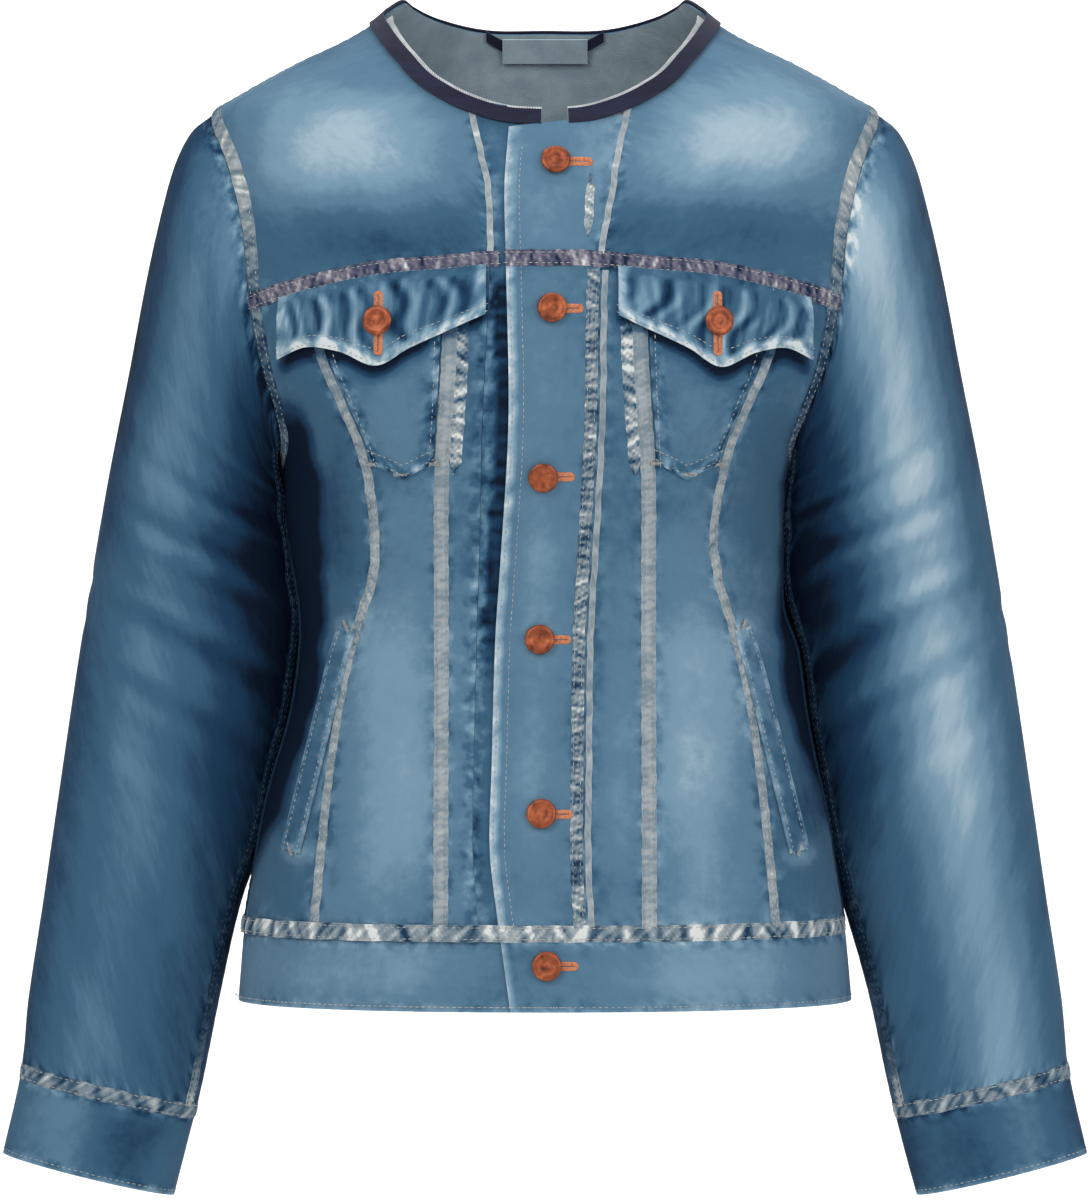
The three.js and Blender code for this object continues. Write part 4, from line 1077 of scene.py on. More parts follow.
def body_panel(name, patch, across, up, edges=None, lift=None, thickness=CLOTH, gap=SEAM_GAP,
               look=DENIM_LOOK, slot="denim", shift=0.0, seed=0.0, puckered=1.0, folds=None,
               rim_reach=FOLD_REACH_IN, on_flap=False):
    """A panel of the body that replaces its node: a patch of spots and its steps across and up."""
    edges = ALL_EDGES if edges is None else edges
    u, v = np.meshgrid(across, up)
    turn, z = patch(u, v)
    normals = BODY_SURFACE.normal(turn, z)
    points = inset_rim(BODY_SURFACE.point(turn, z), normals, False, gap)
    if lift is not None:
        points = points + normals * (np.asarray(lift(turn, z)) + 0 * z)[..., None]
    points = pucker(points, normals, edges, seed, puckered)
    # Painted shade beside the side seams and painted shadow under the flaps darken the tone.
    tone = body_fades_and_shade(points) - painted_side_shade(points) + (shift(turn, z) if callable(shift) else shift)
    if not on_flap:
        tone = tone - painted_flap_shadow(points)
    values = cloth_values(points, tone, edges, folds or {}, seed, rim_reach)
    piece = make_shell(f"{name}_cloth", points, normals, thickness, look, values=values)
    declare(piece, name, slot, points)


LOWER_ROWS = two_stretches(273, 100, SIDE_SHARE)


def add_front_panels(side):
    name = side_name(side)
    opening = lower_seam(opening_edge(side))
    inner = lower_seam(front_seam(side, "inner"))
    outer = lower_seam(front_seam(side, "outer"))
    body_panel(f"front_centre_{name}", lower_panel(opening, inner), steps_for(28), LOWER_ROWS, seed=2 + side)
    body_panel(f"front_middle_{name}", lower_panel(inner, outer), steps_for(75), LOWER_ROWS, seed=5 + side)
    body_panel(f"front_side_{name}", lower_panel(outer, side_edge(side, False)), steps_for(75), LOWER_ROWS,
               seed=8 + side, shift=SIDE_TONE)


def front_neck_turn(start_turn, side, f):
    return mix(start_turn, side * SHOULDER_TURN, f ** 1.35)


def neck_and_shoulder(start_turn, side):
    """The neck edge to the shoulder seam, then the shoulder seam out to the armhole."""
    shoulder_z = neck_z(SHOULDER_TURN)
    tip_z = armhole_spot(side, np.array(0.0))[1]

    def at(u):
        neck = front_neck_turn(start_turn, side, np.clip(u / NECK_SHARE, 0, 1))
        f = (u - NECK_SHARE) / (1 - NECK_SHARE)
        on_neck = u <= NECK_SHARE
        turn = np.where(on_neck, neck, side * SHOULDER_TURN)
        return turn, np.where(on_neck, neck_z(neck), mix(shoulder_z, tip_z, f))
    return at


def add_front_yoke(side):
    distance_at = opening_edge(side)
    foot = meeting_spot(distance_at, yoke_z, -147)
    neck = meeting_spot(distance_at, neck_z, -55)

    def left(v):
        z = mix(foot[1], neck[1], v)
        return turn_at(distance_at(z), z), z

    def right(v):
        return armhole_spot(side, mix(ARMHOLE["yoke_end"], 0, v))

    def bottom(u):
        turn = mix(foot[0], side * YOKE_END_TURN, u)
        return turn, yoke_z(turn)

    patch = blended_patch(bottom, neck_and_shoulder(neck[0], side), left, right)
    across = two_stretches(140, 110, NECK_SHARE)
    edges = {"left": 0.5, "right": 0.8, "bottom": 0.8, "top": 0.25}
    body_panel(f"front_yoke_{side_name(side)}", patch, across, steps_for(130), edges, seed=11 + side)


def back_seam(side):
    def distance_at(z):
        return look_up(BACK_SEAM, z, "outer")

    top_z = meeting_spot(distance_at, lambda turn: yoke_z(180 - turn), -160)[1]

    def at(v):
        z = mix(BAND_SEAM_Z, top_z, v)
        turn = 180 - turn_at(distance_at(z), z)
        return (turn if side > 0 else 360 - turn), z
    return at


def add_back_yoke():
    tip_z = armhole_spot(1, np.array(0.0))[1]
    share = BACK_SHOULDER_SHARE

    def top(u):
        turn = 90 + 180 * np.clip((u - share) / (1 - 2 * share), 0, 1)
        from_end = np.clip(np.minimum(u, 1 - u) / share, 0, 1)
        on_neck = (u >= share) & (u <= 1 - share)
        return turn, np.where(on_neck, neck_z(turn), mix(tip_z, neck_z(90), from_end))

    def bottom(u):
        turn = mix(BACK_YOKE_END_TURN, 360 - BACK_YOKE_END_TURN, u)
        return turn, yoke_z(turn)

    def right_edge(v):
        return armhole_spot(1, -mix(ARMHOLE["yoke_end"], 0, v))

    def left_edge(v):
        turn, z = right_edge(v)
        return 360 - turn, z

    shoulder = steps_for(110) * share
    middle = share + steps_for(230)[1:] * (1 - 2 * share)
    across = np.concatenate([shoulder, middle, 1 - shoulder[::-1][1:]])
    edges = {"left": 0.8, "right": 0.8, "bottom": 0.9, "top": 0.2}
    patch = blended_patch(bottom, top, right_edge, left_edge)
    body_panel("back_yoke", patch, across, steps_for(165), edges, seed=14)


def add_back_panels():
    def unturned(v):
        turn, z = side_edge(-1, True)(v)
        return turn + 360, z

    back_centre = lower_panel(back_seam(1), back_seam(-1))
    body_panel("back_centre", back_centre, steps_for(200), LOWER_ROWS, seed=15)
    right = lower_panel(side_edge(1, True), back_seam(1))
    left = lower_panel(back_seam(-1), unturned)
    for name, patch, seed in (("back_side_right", right, 16), ("back_side_left", left, 17)):
        body_panel(name, patch, steps_for(80), LOWER_ROWS, seed=seed, shift=SIDE_TONE)


def opening_strip(name, left_of, right_of, width, top_share, corner=0.0, **options):
    """A strip of the opening between two distances from the centre, up to a part of the yoke.

    corner is how far its upper right corner is cut down, as a part of the yoke's height.
    """
    left = opening_edge_up(left_of)
    right = opening_edge_up(right_of)

    def patch(u, v):
        v = v - np.maximum(0, v - 1) * corner * smooth_step((u - 0.5) / 0.25)
        sides = left(v), right(v)
        return [mix(sides[0][k], sides[1][k], u) for k in (0, 1)]

    up = np.concatenate([steps_for(373), 1 + steps_for(95)[1:] * top_share])
    body_panel(name, patch, steps_for(width), up, **options)


def under_placket_shadow_tone(turn, z):
    """The strip under the free edge has a painted shadow beside that edge, down to the waist, and is a little
    darker all over.
    """
    x = smooth_body(turn, z)[..., 0]
    beside = smooth_step((x - look_up(OPENING, z, "free") + 9 + 1.5 * wobble(z / 15, 2.0)) / 2.5)
    dashes = 0.85 + 0.3 * wobble(z / 9, 1.0)
    return -0.42 * beside * dashes * smooth_step((-150 - z) / 12) * smooth_step((z + 400) / 60) - 0.04


def placket_tone(turn, z):
    return 0.04 + 0.10 * smooth_step((z + 150) / 20)


def add_opening():
    worn_edge = {"left": 0.25, "right": 0.5, "bottom": 0.4, "top": 0}
    opening_strip("placket", lambda z: look_up(OPENING, z, "free"), opening_edge(1), 52,
                  PLACKET_TOP_SHARE, edges=worn_edge, folds={"left": 0.92}, rim_reach=3.6,
                  lift=lap_lift, seed=18, shift=placket_tone)
    opening_strip("under_placket", opening_edge(-1), lambda z: look_up(OPENING, z, "under"), 46,
                  1, corner=0.2, seed=19, shift=under_placket_shadow_tone)


def add_hem_band():
    def patch(u, v):
        z = mix(HEM_Z, BAND_SEAM_Z, v)
        free = turn_at(look_up(OPENING, z, "free"), z)
        under = turn_at(look_up(OPENING, z, "under"), z) + 360
        return mix(free, under, u), z

    def lift(turn, z):
        return np.where(turn < 180, lap_lift(turn, z), 0)

    edges = {"left": 0.2, "right": 0.3, "bottom": 0.3, "top": 1}
    body_panel("hem_band", patch, steps_for(990), steps_for(44), edges, lift=lift, seed=20,
               folds={"left": 0.85, "bottom": 0.7})


def sleeve_panel(name, side, turns, rings, closed=False, seed=0.0, shift=0.0, edges=None, folds=None):
    """A panel of a sleeve, between two of its seams and two of its rings."""
    surface = SLEEVES[side]
    edges = ALL_EDGES if edges is None else edges
    turn, ring = np.meshgrid(turns, rings)
    normals = surface.normal(turn, ring)
    points = inset_rim(surface.point(turn, ring), normals, closed, SEAM_GAP)
    if not closed:
        points = pucker(points, normals, edges, seed, 0.8)
    values = cloth_values(points, sleeve_fade_and_shade(side, turn, ring) + shift, edges, folds or {}, seed)
    piece = make_shell(f"{name}_cloth", points, normals, CLOTH, DENIM_LOOK, closed, values)
    declare(piece, name, "denim", points)


def cuff_tone(side, turns):
    """The cuffs are patchy: a deep blue patch on the left one's front, a soft one on the right."""
    place = 112 if side < 0 else 84
    strength = 0.20 if side < 0 else 0.16
    return -strength * np.exp(-((wrap(turns) - place) / 34) ** 2)[None, :] + (0.14 if side < 0 else -0.05)


def add_sleeve(side):
    name = side_name(side)
    rings = np.concatenate([np.linspace(0, 3, 16), np.linspace(3, CUFF_SEAM_RING, 158)[1:]])
    edges = {"left": 0.7, "right": 0.7, "bottom": 0.9, "top": 0.8}
    top = np.linspace(BACK_SLEEVE_SEAM - 360, FRONT_SLEEVE_SEAM, 86)
    sleeve_panel(f"top_sleeve_{name}", side, top, rings, seed=21 + side, edges=edges)
    under = np.linspace(FRONT_SLEEVE_SEAM, BACK_SLEEVE_SEAM, 36)
    sleeve_panel(f"under_sleeve_{name}", side, under, rings, seed=24 + side, edges=edges)
    cuff_turns = np.linspace(0, 360, 91)[:-1]
    cuff_rings = np.linspace(CUFF_SEAM_RING, CUFF_END_RING, 18)
    sleeve_panel(f"cuff_{name}", side, cuff_turns, cuff_rings, True, 27 + side, cuff_tone(side, cuff_turns),
                 {"bottom": 1, "top": 0.3}, {"top": 0.7})


def neck_strip(above, below):
    """A strip along the neck edge, given how far it runs above the edge and below it."""
    def at(turn, v):
        z = neck_z(turn)
        ahead = smooth_body(turn + 0.5, neck_z(turn + 0.5))
        behind = smooth_body(turn - 0.5, neck_z(turn - 0.5))
        upward = unit(np.cross(BODY_SURFACE.normal(turn, z), unit(ahead - behind)))
        return BODY_SURFACE.slide(turn, z, upward, mix(-below, above, v))
    return at


def front_neck_turns(side, count):
    end = -BINDING_END["left"] if side < 0 else BINDING_END["right"]
    start = float(meeting_spot(lambda z: end + 0 * z, neck_z, -58)[0])
    yoke_start = float(meeting_spot(opening_edge(side), neck_z, -55)[0])
    lap = np.linspace(start, yoke_start, count // 3)[:-1]
    return np.concatenate([lap, front_neck_turn(yoke_start, side, np.linspace(0, 1, count))])


def plain_strip(name, patch, across, up, lift, material, slot):
    """A narrow piece at the neck, with no seam round it."""
    worn = {"left": 0, "right": 0, "bottom": 0, "top": 0}
    body_panel(name, patch, across, up, worn, gap=0, thickness=TAPE_CLOTH if lift < 0 else CLOTH,
               lift=lambda turn, z: lift, look=(material, material), slot=slot, puckered=0)


def add_neck_edge():
    right = front_neck_turns(1, 66)
    left = (front_neck_turns(-1, 66) + 360)[::-1]
    binding_turns = np.concatenate([right, np.linspace(90, 270, 101)[1:-1], left])
    rows = np.linspace(0, 1, 7)
    binding = neck_strip(BINDING_OVER_EDGE, BINDING_WIDTH)
    plain_strip("neck_binding", binding, binding_turns, rows, BINDING_LAP + CLOTH, NAVY, "binding")
    tape = neck_strip(TAPE_OVER_EDGE, TAPE_WIDTH)
    plain_strip("neck_tape_right", tape, right[:-8], rows, UNDER_CLOTH, TAPE, "tape")
    plain_strip("neck_tape_left", tape, left[8:], rows, UNDER_CLOTH, TAPE, "tape")


def back_strip(half_width, top_z, foot_z):
    """The tab or the loop inside the back neck, between two distances from the centre back."""
    def at(u, v):
        x = mix(-half_width, half_width, u)
        z = mix(foot_z(x), top_z(x), v)
        return 180 - turn_at(x, z), z
    return at


def add_neck_tab():
    def loop_z(x):
        return -13 + 11 * np.abs(x / 35) ** 2

    loop = back_strip(35, lambda x: loop_z(x) + 3, lambda x: loop_z(x) - 3)
    plain_strip("hanger_loop", loop, steps_for(70, 2), steps_for(6, 1.5), UNDER_CLOTH, NAVY, "binding")
    tab = back_strip(25.5, lambda x: -3 + 0 * x, lambda x: -17 + 0 * x)
    plain_strip("neck_tab", tab, steps_for(51, 2), steps_for(14, 2), UNDER_CLOTH - TAPE_CLOTH - LAP,
                INSIDE, "inside_cloth")


def pocket_patch(side):
    def inner(z):
        return side * (look_up(SEAMS, z, "inner") + 5)

    def outer(z):
        return side * (look_up(SEAMS, z, "outer") - 5)

    def at(u, v):
        point = 1 - np.abs(2 * u - 1)
        z = mix(mix(POCKET_FOOT["side_z"], POCKET_FOOT["point_z"], point), -161, v)
        return turn_at(mix(inner(z), outer(z), u), z), z
    return at


def flap_patch(side):
    inner_x = FLAP_ENDS[side_name(side)]

    def at(u, v):
        x = side * mix(inner_x, FLAP_ENDS["outer"], u)
        top_z = meeting_spot(lambda z: x, yoke_z, -150 + 0 * x)[1] - 1
        z = top_z - look_up(FLAP, u, "fall") * (1 - v)
        return turn_at(x, z), z
    return at


def welt_patch(side):
    lean = math.atan2(WELT["foot_x"] - WELT["top_x"], WELT["top_z"] - WELT["foot_z"])

    def at(u, v):
        x = mix(WELT["foot_x"], WELT["top_x"], v) + (u - 0.5) * WELT["width"] * math.cos(lean)
        z = mix(WELT["foot_z"], WELT["top_z"], v) + (u - 0.5) * WELT["width"] * math.sin(lean)
        return turn_at(side * x, z), z
    return at


FLAP_TOP_LIFT = 1.9  # how far the flap's outer side stands off the front where the seam holds it


def add_chest(side):
    name = side_name(side)
    pocket_edges = {"left": 0.9, "right": 0.9, "bottom": 1, "top": 0}
    body_panel(f"chest_pocket_{name}", pocket_patch(side), steps_for(50, 2.4), steps_for(105, 2.4),
               pocket_edges, gap=0, lift=lambda turn, z: ONE_LAYER, seed=30 + side, shift=-0.02)

    def flap_fold(turn, z):
        """Narrow folds that hang from the seam and lean a little towards the flap's point."""
        fall = yoke_z(turn) - z
        lean = (turn - side * 42) * fall / 260
        fold = wobble((turn - lean) / 5.6 + 0.3 * wobble(fall / 45, 3.0), 1.7 + side)
        fold = fold + 0.45 * wobble((turn + lean) / 3.4, 3.9 + side)
        return fold * smooth_step((fall - 3) / 7)

    def flap_lift(turn, z):
        below_seam = smooth_step((yoke_z(turn) - z - 2) / 9)
        return mix(FLAP_TOP_LIFT, 2 * ONE_LAYER, below_seam) + 0.35 * flap_fold(turn, z)

    # Pale along the folds' ridges and dark in their hollows: worn whiskers, with painted highlight and shade
    # on the folds.
    def flap_whiskers_and_shading(turn, z):
        return 0.36 * flap_fold(turn, z)

    flap_edges = {"left": 0.5, "right": 0.5, "bottom": 0.8, "top": 0.3}
    body_panel(f"pocket_flap_{name}", flap_patch(side), steps_for(115, 2), steps_for(45, 2),
               flap_edges, gap=0, lift=flap_lift, seed=33 + side, shift=flap_whiskers_and_shading,
               folds={"bottom": 1.0, "left": 0.75, "right": 0.75}, rim_reach=5.6, puckered=1.6,
               on_flap=True)
    welt_edges = {"left": 0.5, "right": 0.5, "bottom": 0.8, "top": 0.8}
    body_panel(f"side_welt_{name}", welt_patch(side), steps_for(11, 1.8), steps_for(131, 1.8),
               welt_edges, gap=0, lift=lambda turn, z: ONE_LAYER, seed=36 + side, shift=-0.04,
               folds={"left": 0.72, "right": 0.6}, puckered=0.5)


# Felled seams: raised strips that lie over the gaps between the panels.

def even_path(path, spacing=FINE_GRID, samples=500):
    """Spots at equal lengths along a path, a function of 0 to 1, and the surface it runs on."""
    surface, at = path
    t = np.linspace(0, 1, samples)
    a, b = (np.asarray(k, float) + 0 * t for k in at(t))
    length = lengths_along(surface.smooth(a, b), 0)
    count = max(4, int(round(length[-1] / spacing)) + 1)
    even = np.linspace(0, length[-1], count)
    return np.interp(even, length, a), np.interp(even, length, b), even


def path_frame(surface, a, b, ring=False):
    """The direction along a path of spots, the one across it, and the surface's normal."""
    points = surface.smooth(a, b)
    if ring:
        around = np.concatenate([points[-2:-1], points, points[1:2]])
        along = unit(around[2:] - around[:-2])
    else:
        along = unit(np.gradient(points, axis=0))
    normal = surface.normal(a, b)
    return along, unit(np.cross(normal, along)), normal


STRIP_CLOTH = 0.8
STRIP_COLUMNS = 11
YOKE_STRIP_LIFT = 0.3  # the yoke's strip lies over the tops of the strips below it
STITCH_INSET = 1.3  # from a strip's side to its row of stitches
STITCH_DIP = 0.25  # how deep the stitches pull the cloth in


# Felled strips: width, mean tone, how much their worn patches differ, about how far apart the
# patches lie, and the seed of their unevenness.
STRIPS = {
    "inner_seam": (8.6, 0.66, 0.10, 5.0, 1),
    "outer_seam": (6.2, 0.64, 0.16, 7.0, 4),
    "pocket_pucker": (7, 0.62, 0.5, 8.0, 40),
    "yoke_seam": (9.5, 0.42, 0.34, 6.5, 7),
    # the side seams' dark tone is painted shade under the arms
    "side_seam": (8, -0.1, 0.1, 6.0, 10),
    "shoulder_seam": (6, 0.1, 0.15, 6.0, 13),
    "back_seam": (8, 0.5, 0.14, 6.0, 16),
    "armhole_seam": (9.5, 0.42, 0.2, 9.0, 19),
    "neck_line": (3.6, 0.74, 0.1, 9.0, 22),
    "back_yoke_seam": (9, 0.45, 0.3, 6.5, 25),
    "placket_top_pucker": (5, 0.7, 0.3, 7.0, 43),
    "placket_seam": (7, 0.5, 0.42, 5.6, 26),
    "placket_fold": (3.6, 0.68, 0.08, 12.0, 27),
    "hem_seam": (9.5, 0.58, 0.40, 13.0, 28),
    # the front sleeve seam's dark tone is painted shade on the inner arm
    "front_sleeve_seam": (7, 0.04, 0.12, 7.0, 31),
    "back_sleeve_seam": (7, 0.45, 0.16, 7.0, 34),
    "cuff_seam": (9, 0.41, 0.32, 13.0, 37),
}


def seam_strip(kind, path, side=0, offset=0.0, lift=0.0, height=0.6, look=SEAM_LOOK, ring=False,
               ripple=0.25, laps=False, fade=None, tapered=False):
    """A felled strip over a seam. laps follows the front on top, and tapered thins the ends."""
    width, tone, speckle, period, seed = STRIPS[kind]
    name = f"{kind}_{side_name(side)}" if side else kind
    seed = seed + side
    surface = path[0]
    a, b, length = even_path(path)
    along, across, normal = path_frame(surface, a, b, ring)
    rows = []
    depths = []
    patterns = []
    shares = np.linspace(-0.5, 0.5, STRIP_COLUMNS)
    lean = 0.8 * wobble(length / 70, seed + 9)
    sway = 0.35 * wobble(length / (2.3 * period), seed)
    ends = smooth_step(np.minimum(length, length[-1] - length) / 9) if tapered else 1
    for share in shares:
        spot = surface.slide(a, b, across, share * width * mix(0.3, 1, ends) + offset + sway)
        crown = height * (1 - 0.55 * abs(2 * share) ** 3)
        pattern = 0.8 * wobble(length / period + lean * share, seed + 1)
        pattern = pattern + 0.5 * wobble(length / (0.55 * period) - 1.4 * share, seed + 3)
        bumps = ripple * pattern * (1 - abs(2 * share) ** 4)
        bumps = bumps - STITCH_DIP * math.exp(-((abs(share) * width - (width / 2 - STITCH_INSET)) / 0.8) ** 2)
        rise = lift + crown + bumps
        if laps:
            rise = rise + lap_lift(*spot)
        rows.append(surface.point(*spot) + surface.normal(*spot) * rise[..., None])
        depths.append(bumps)
        patterns.append(pattern)
    points = np.array(rows).swapaxes(0, 1)
    depths = np.array(depths).T
    patterns = np.array(patterns).T
    if ring:
        points = points[:-1]
        depths = depths[:-1]
        patterns = patterns[:-1]
        length = length[:-1]
        normal = normal[:-1]
    normals = np.repeat(normal[:, None], len(shares), axis=1)
    drift = 0.5 * wobble(length[:, None] / 37 + 0.2 * shares, seed + 5)
    tones = tone + speckle * (patterns + drift) + 0.25 * depths
    # Painted shadow under the pocket flaps falls across the strips too.
    if surface is BODY_SURFACE:
        tones = tones - painted_flap_shadow(points)
    if fade is not None:
        tones = tones + fade(np.linspace(0, 1, len(tones)))[:, None]
    cloth = np.stack([shares[None, :] * width * MM + 0 * depths, length[:, None] * MM + 0 * depths,
                      0 * depths + seed * 0.53], -1)
    values = {"cloth": cloth, "tone": tones, "seam": 0.15 + speckle + 0 * tones}
    if ring:
        points = points.swapaxes(0, 1)
        normals = normals.swapaxes(0, 1)
        values = {key: data.swapaxes(0, 1) for key, data in values.items()}
    piece = make_shell(name, points, normals, STRIP_CLOTH, look, ring, values)
    declare(piece, None, "denim", points)


def on_body(at, start=0.0, end=1.0):
    """A path on the body, or a part of it."""
    return BODY_SURFACE, lambda t: at(mix(start, end, t))


def upright_line(turn, start_z, end_z):
    return on_body(lambda t: (turn + 0 * t, mix(start_z, end_z, t)))


def around_body(z, start_x, end_x):
    """A path all round the body at a height, from the free edge round to the strip under it."""
    return on_body(lambda t: (mix(turn_at(start_x, z), turn_at(end_x, z) + 360, t), z + 0 * t))


def along_sleeve(side, turn, start_ring, end_ring):
    return SLEEVES[side], lambda t: (turn + 0 * t, mix(start_ring, end_ring, t))


def around_sleeve(side, ring, start=0, end=360):
    return SLEEVES[side], lambda t: (mix(start, end, t), ring + 0 * t)


YOKE_START = {-1: -26, 1: -22}  # where each front yoke's seam starts, at the opening


def yoke_path(side):
    """Along the front yoke's lower edge from the opening out to the armhole."""
    start = meeting_spot(lambda z: YOKE_START[side], yoke_z, -150)[0]

    def at(t):
        turn = mix(start, side * YOKE_END_TURN, t)
        return turn, yoke_z(turn)
    return on_body(at)


def back_yoke_path():
    def at(t):
        turn = mix(BACK_YOKE_END_TURN, 360 - BACK_YOKE_END_TURN, t)
        return turn, yoke_z(turn)
    return on_body(at)


def armhole_path(side, end):
    return on_body(lambda t: armhole_spot(side, mix(-end, end, t)))


def armhole_wear_and_shade(t):
    """Most worn over the front of the shoulder, and darker low on the front, which is painted shade down to
    the underarm. The path starts and ends under the arm.
    """
    return 0.36 * np.exp(-((t - 0.61) / 0.07) ** 2) - 0.3 * np.exp(-((t - 0.86) / 0.1) ** 2)


def faded_ends(t):
    """A strip that merges with the cloth round it at both its ends."""
    return -0.25 * (np.exp(-((t / 0.12) ** 2)) + np.exp(-(((1 - t) / 0.12) ** 2)))


def sleeve_seam_wear(t):
    """Pale and rubbed just above the cuff. The strip's dark tone along the inner arm is painted shade."""
    return 0.7 * np.exp(-((t - 1) / 0.07) ** 2)


def add_body_seams():
    for side in (-1, 1):
        inner = lower_seam(front_seam(side, "inner"))
        outer = lower_seam(front_seam(side, "outer"))
        seam_strip("inner_seam", on_body(inner, 0.005, 0.97), side, ripple=0.12)
        seam_strip("outer_seam", on_body(outer, 0.005, 0.97), side, ripple=0.12)
        seam_strip("pocket_pucker", on_body(inner, 0.69, 0.93), side, offset=7.6 * side, height=0.4,
                   ripple=0.35, fade=faded_ends, tapered=True)
        seam_strip("yoke_seam", yoke_path(side), side, offset=2.5 * side, lift=YOKE_STRIP_LIFT,
                   look=YOKE_SEAM_LOOK, laps=side > 0)
        seam_strip("side_seam", upright_line(side * 90, BAND_SEAM_Z + 1, -252), side, height=1.3)
        seam_strip("shoulder_seam", upright_line(side * 90, 1.0, -54), side)
        seam_strip("back_seam", on_body(back_seam(side), 0.005, 0.985), side)
        seam_strip("armhole_seam", armhole_path(side, 180), side, offset=-5.2 * side, ring=True,
                   fade=armhole_wear_and_shade)
        line = on_body(opening_edge_up(opening_edge(side)), 1.03, 1.93)
        seam_strip("neck_line", line, side, height=0.7, laps=side > 0)
    seam_strip("back_yoke_seam", back_yoke_path(), look=YOKE_SEAM_LOOK)
    placket_top = on_body(lambda t: (turn_at(24 + 2 * t, mix(-132, -96, t)), mix(-132, -96, t)))
    seam_strip("placket_top_pucker", placket_top, ripple=0.3, laps=True, fade=faded_ends, tapered=True)
    ladder = on_body(lower_seam(opening_edge(1)), 0.01, 0.99)
    seam_strip("placket_seam", ladder, offset=3.4, ripple=0.4, laps=True)
    seam_strip("placket_fold", ladder, offset=-3.2, height=0.8)
    seam_strip("hem_seam", around_body(BAND_SEAM_Z, -26, 10), ripple=0.5, laps=True,
               fade=lambda t: 0.2 * wobble(t * 13, 4.0))


def add_sleeve_seams(side):
    last_ring = CUFF_SEAM_RING - 0.1
    front = along_sleeve(side, FRONT_SLEEVE_SEAM, 2.0, last_ring)
    seam_strip("front_sleeve_seam", front, side, fade=sleeve_seam_wear)
    seam_strip("back_sleeve_seam", along_sleeve(side, BACK_SLEEVE_SEAM, 0.6, last_ring), side)
    seam_strip("cuff_seam", around_sleeve(side, CUFF_SEAM_RING), side, ring=True, ripple=0.35)


# Sewing: rows of stitches, bar tacks and buttonholes.

STITCH = {"length": 2.5, "pitch": 3.5, "width": 0.6, "height": 0.42}
ON_STRIP = 0.4  # height of the stitches' middles on a felled strip
TACK = {"length": 2.6, "pitch": 0.75, "width": 0.7, "height": 0.6}


def stitch_row(path, offset, lift, seed=0.0, laps=False, kind=STITCH, crosswise=False):
    """One row of stitches beside a path: each one's middle, its two directions and its normal."""
    surface = path[0]
    a, b, length = even_path(path, kind["pitch"])
    along, across, normal = path_frame(surface, a, b)
    spot = surface.slide(a, b, across, offset + 0.12 * wobble(length / 27, seed))
    rise = lift + (lap_lift(*spot) if laps else 0 * length)
    middle = surface.point(*spot) + surface.normal(*spot) * rise[..., None]
    if crosswise:
        along, across = across, -along
    return middle, along, across, surface.normal(*spot)


def stitch_mesh(name, rows, kind, material):
    """One piece from rows of stitches, each a short rounded bar whose ends dip into the cloth."""
    middle, along, across, normal = (np.concatenate([row[k] for row in rows]) for k in range(4))
    sections = [(-0.5, 0.35, -0.35), (0.0, 1.0, 1.0), (0.5, 0.35, -0.35)]
    corners = [(-0.5, 0.0), (-0.32, 1.0), (0.32, 1.0), (0.5, 0.0)]
    points = []
    for reach, wide, high in sections:
        for side_share, up in corners:
            rise = kind["height"] * (up * 0.5 * (1 + high) + 0.5 * (high - 1))
            points.append(
                middle
                + along * (reach * kind["length"])
                + across * (side_share * wide * kind["width"])
                + normal * rise
            )
    vertices = np.stack(points, 1)
    count = len(vertices)
    quads = []
    for k in (0, 4):
        for i in range(4):
            after = (i + 1) % 4
            quads.append([k + i, k + after, k + 4 + after, k + 4 + i])
    quads += [[3, 2, 1, 0], [8, 9, 10, 11]]
    every = (np.arange(count) * 12)[:, None, None] + np.array(quads)[None]
    piece = mesh_object(name, vertices.reshape(-1, 3), every.reshape(-1, 4), materials=(material,))
    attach(piece, "root")
    return piece


def double_rows(path, width, seed, laps=False):
    """The two rows of stitches of a felled seam of a width, or of the width of a kind of strip."""
    width = STRIPS[width][0] if isinstance(width, str) else width
    reach = width / 2 - STITCH_INSET
    return [stitch_row(path, sign * reach, ON_STRIP, seed + sign, laps=laps) for sign in (-1, 1)]


def patch_edge(patch, edge, inset):
    """A path along an edge of a patch, in from it by a share of the patch."""
    def at(t):
        across, up = {
            "left": (inset + 0 * t, t), "right": (1 - inset + 0 * t, t),
            "bottom": (t, inset + 0 * t), "top": (t, 1 - inset + 0 * t),
        }[edge]
        return patch(across, up)
    return BODY_SURFACE, at


def short_line(x, z, lean, length):
    """A short straight path on the front, centred at x and z, leaning from upright by degrees."""
    def at(t):
        reach = (t - 0.5) * length
        place_z = z + reach * math.cos(lean * RADIANS)
        return turn_at(x + reach * math.sin(lean * RADIANS), place_z), place_z
    return BODY_SURFACE, at


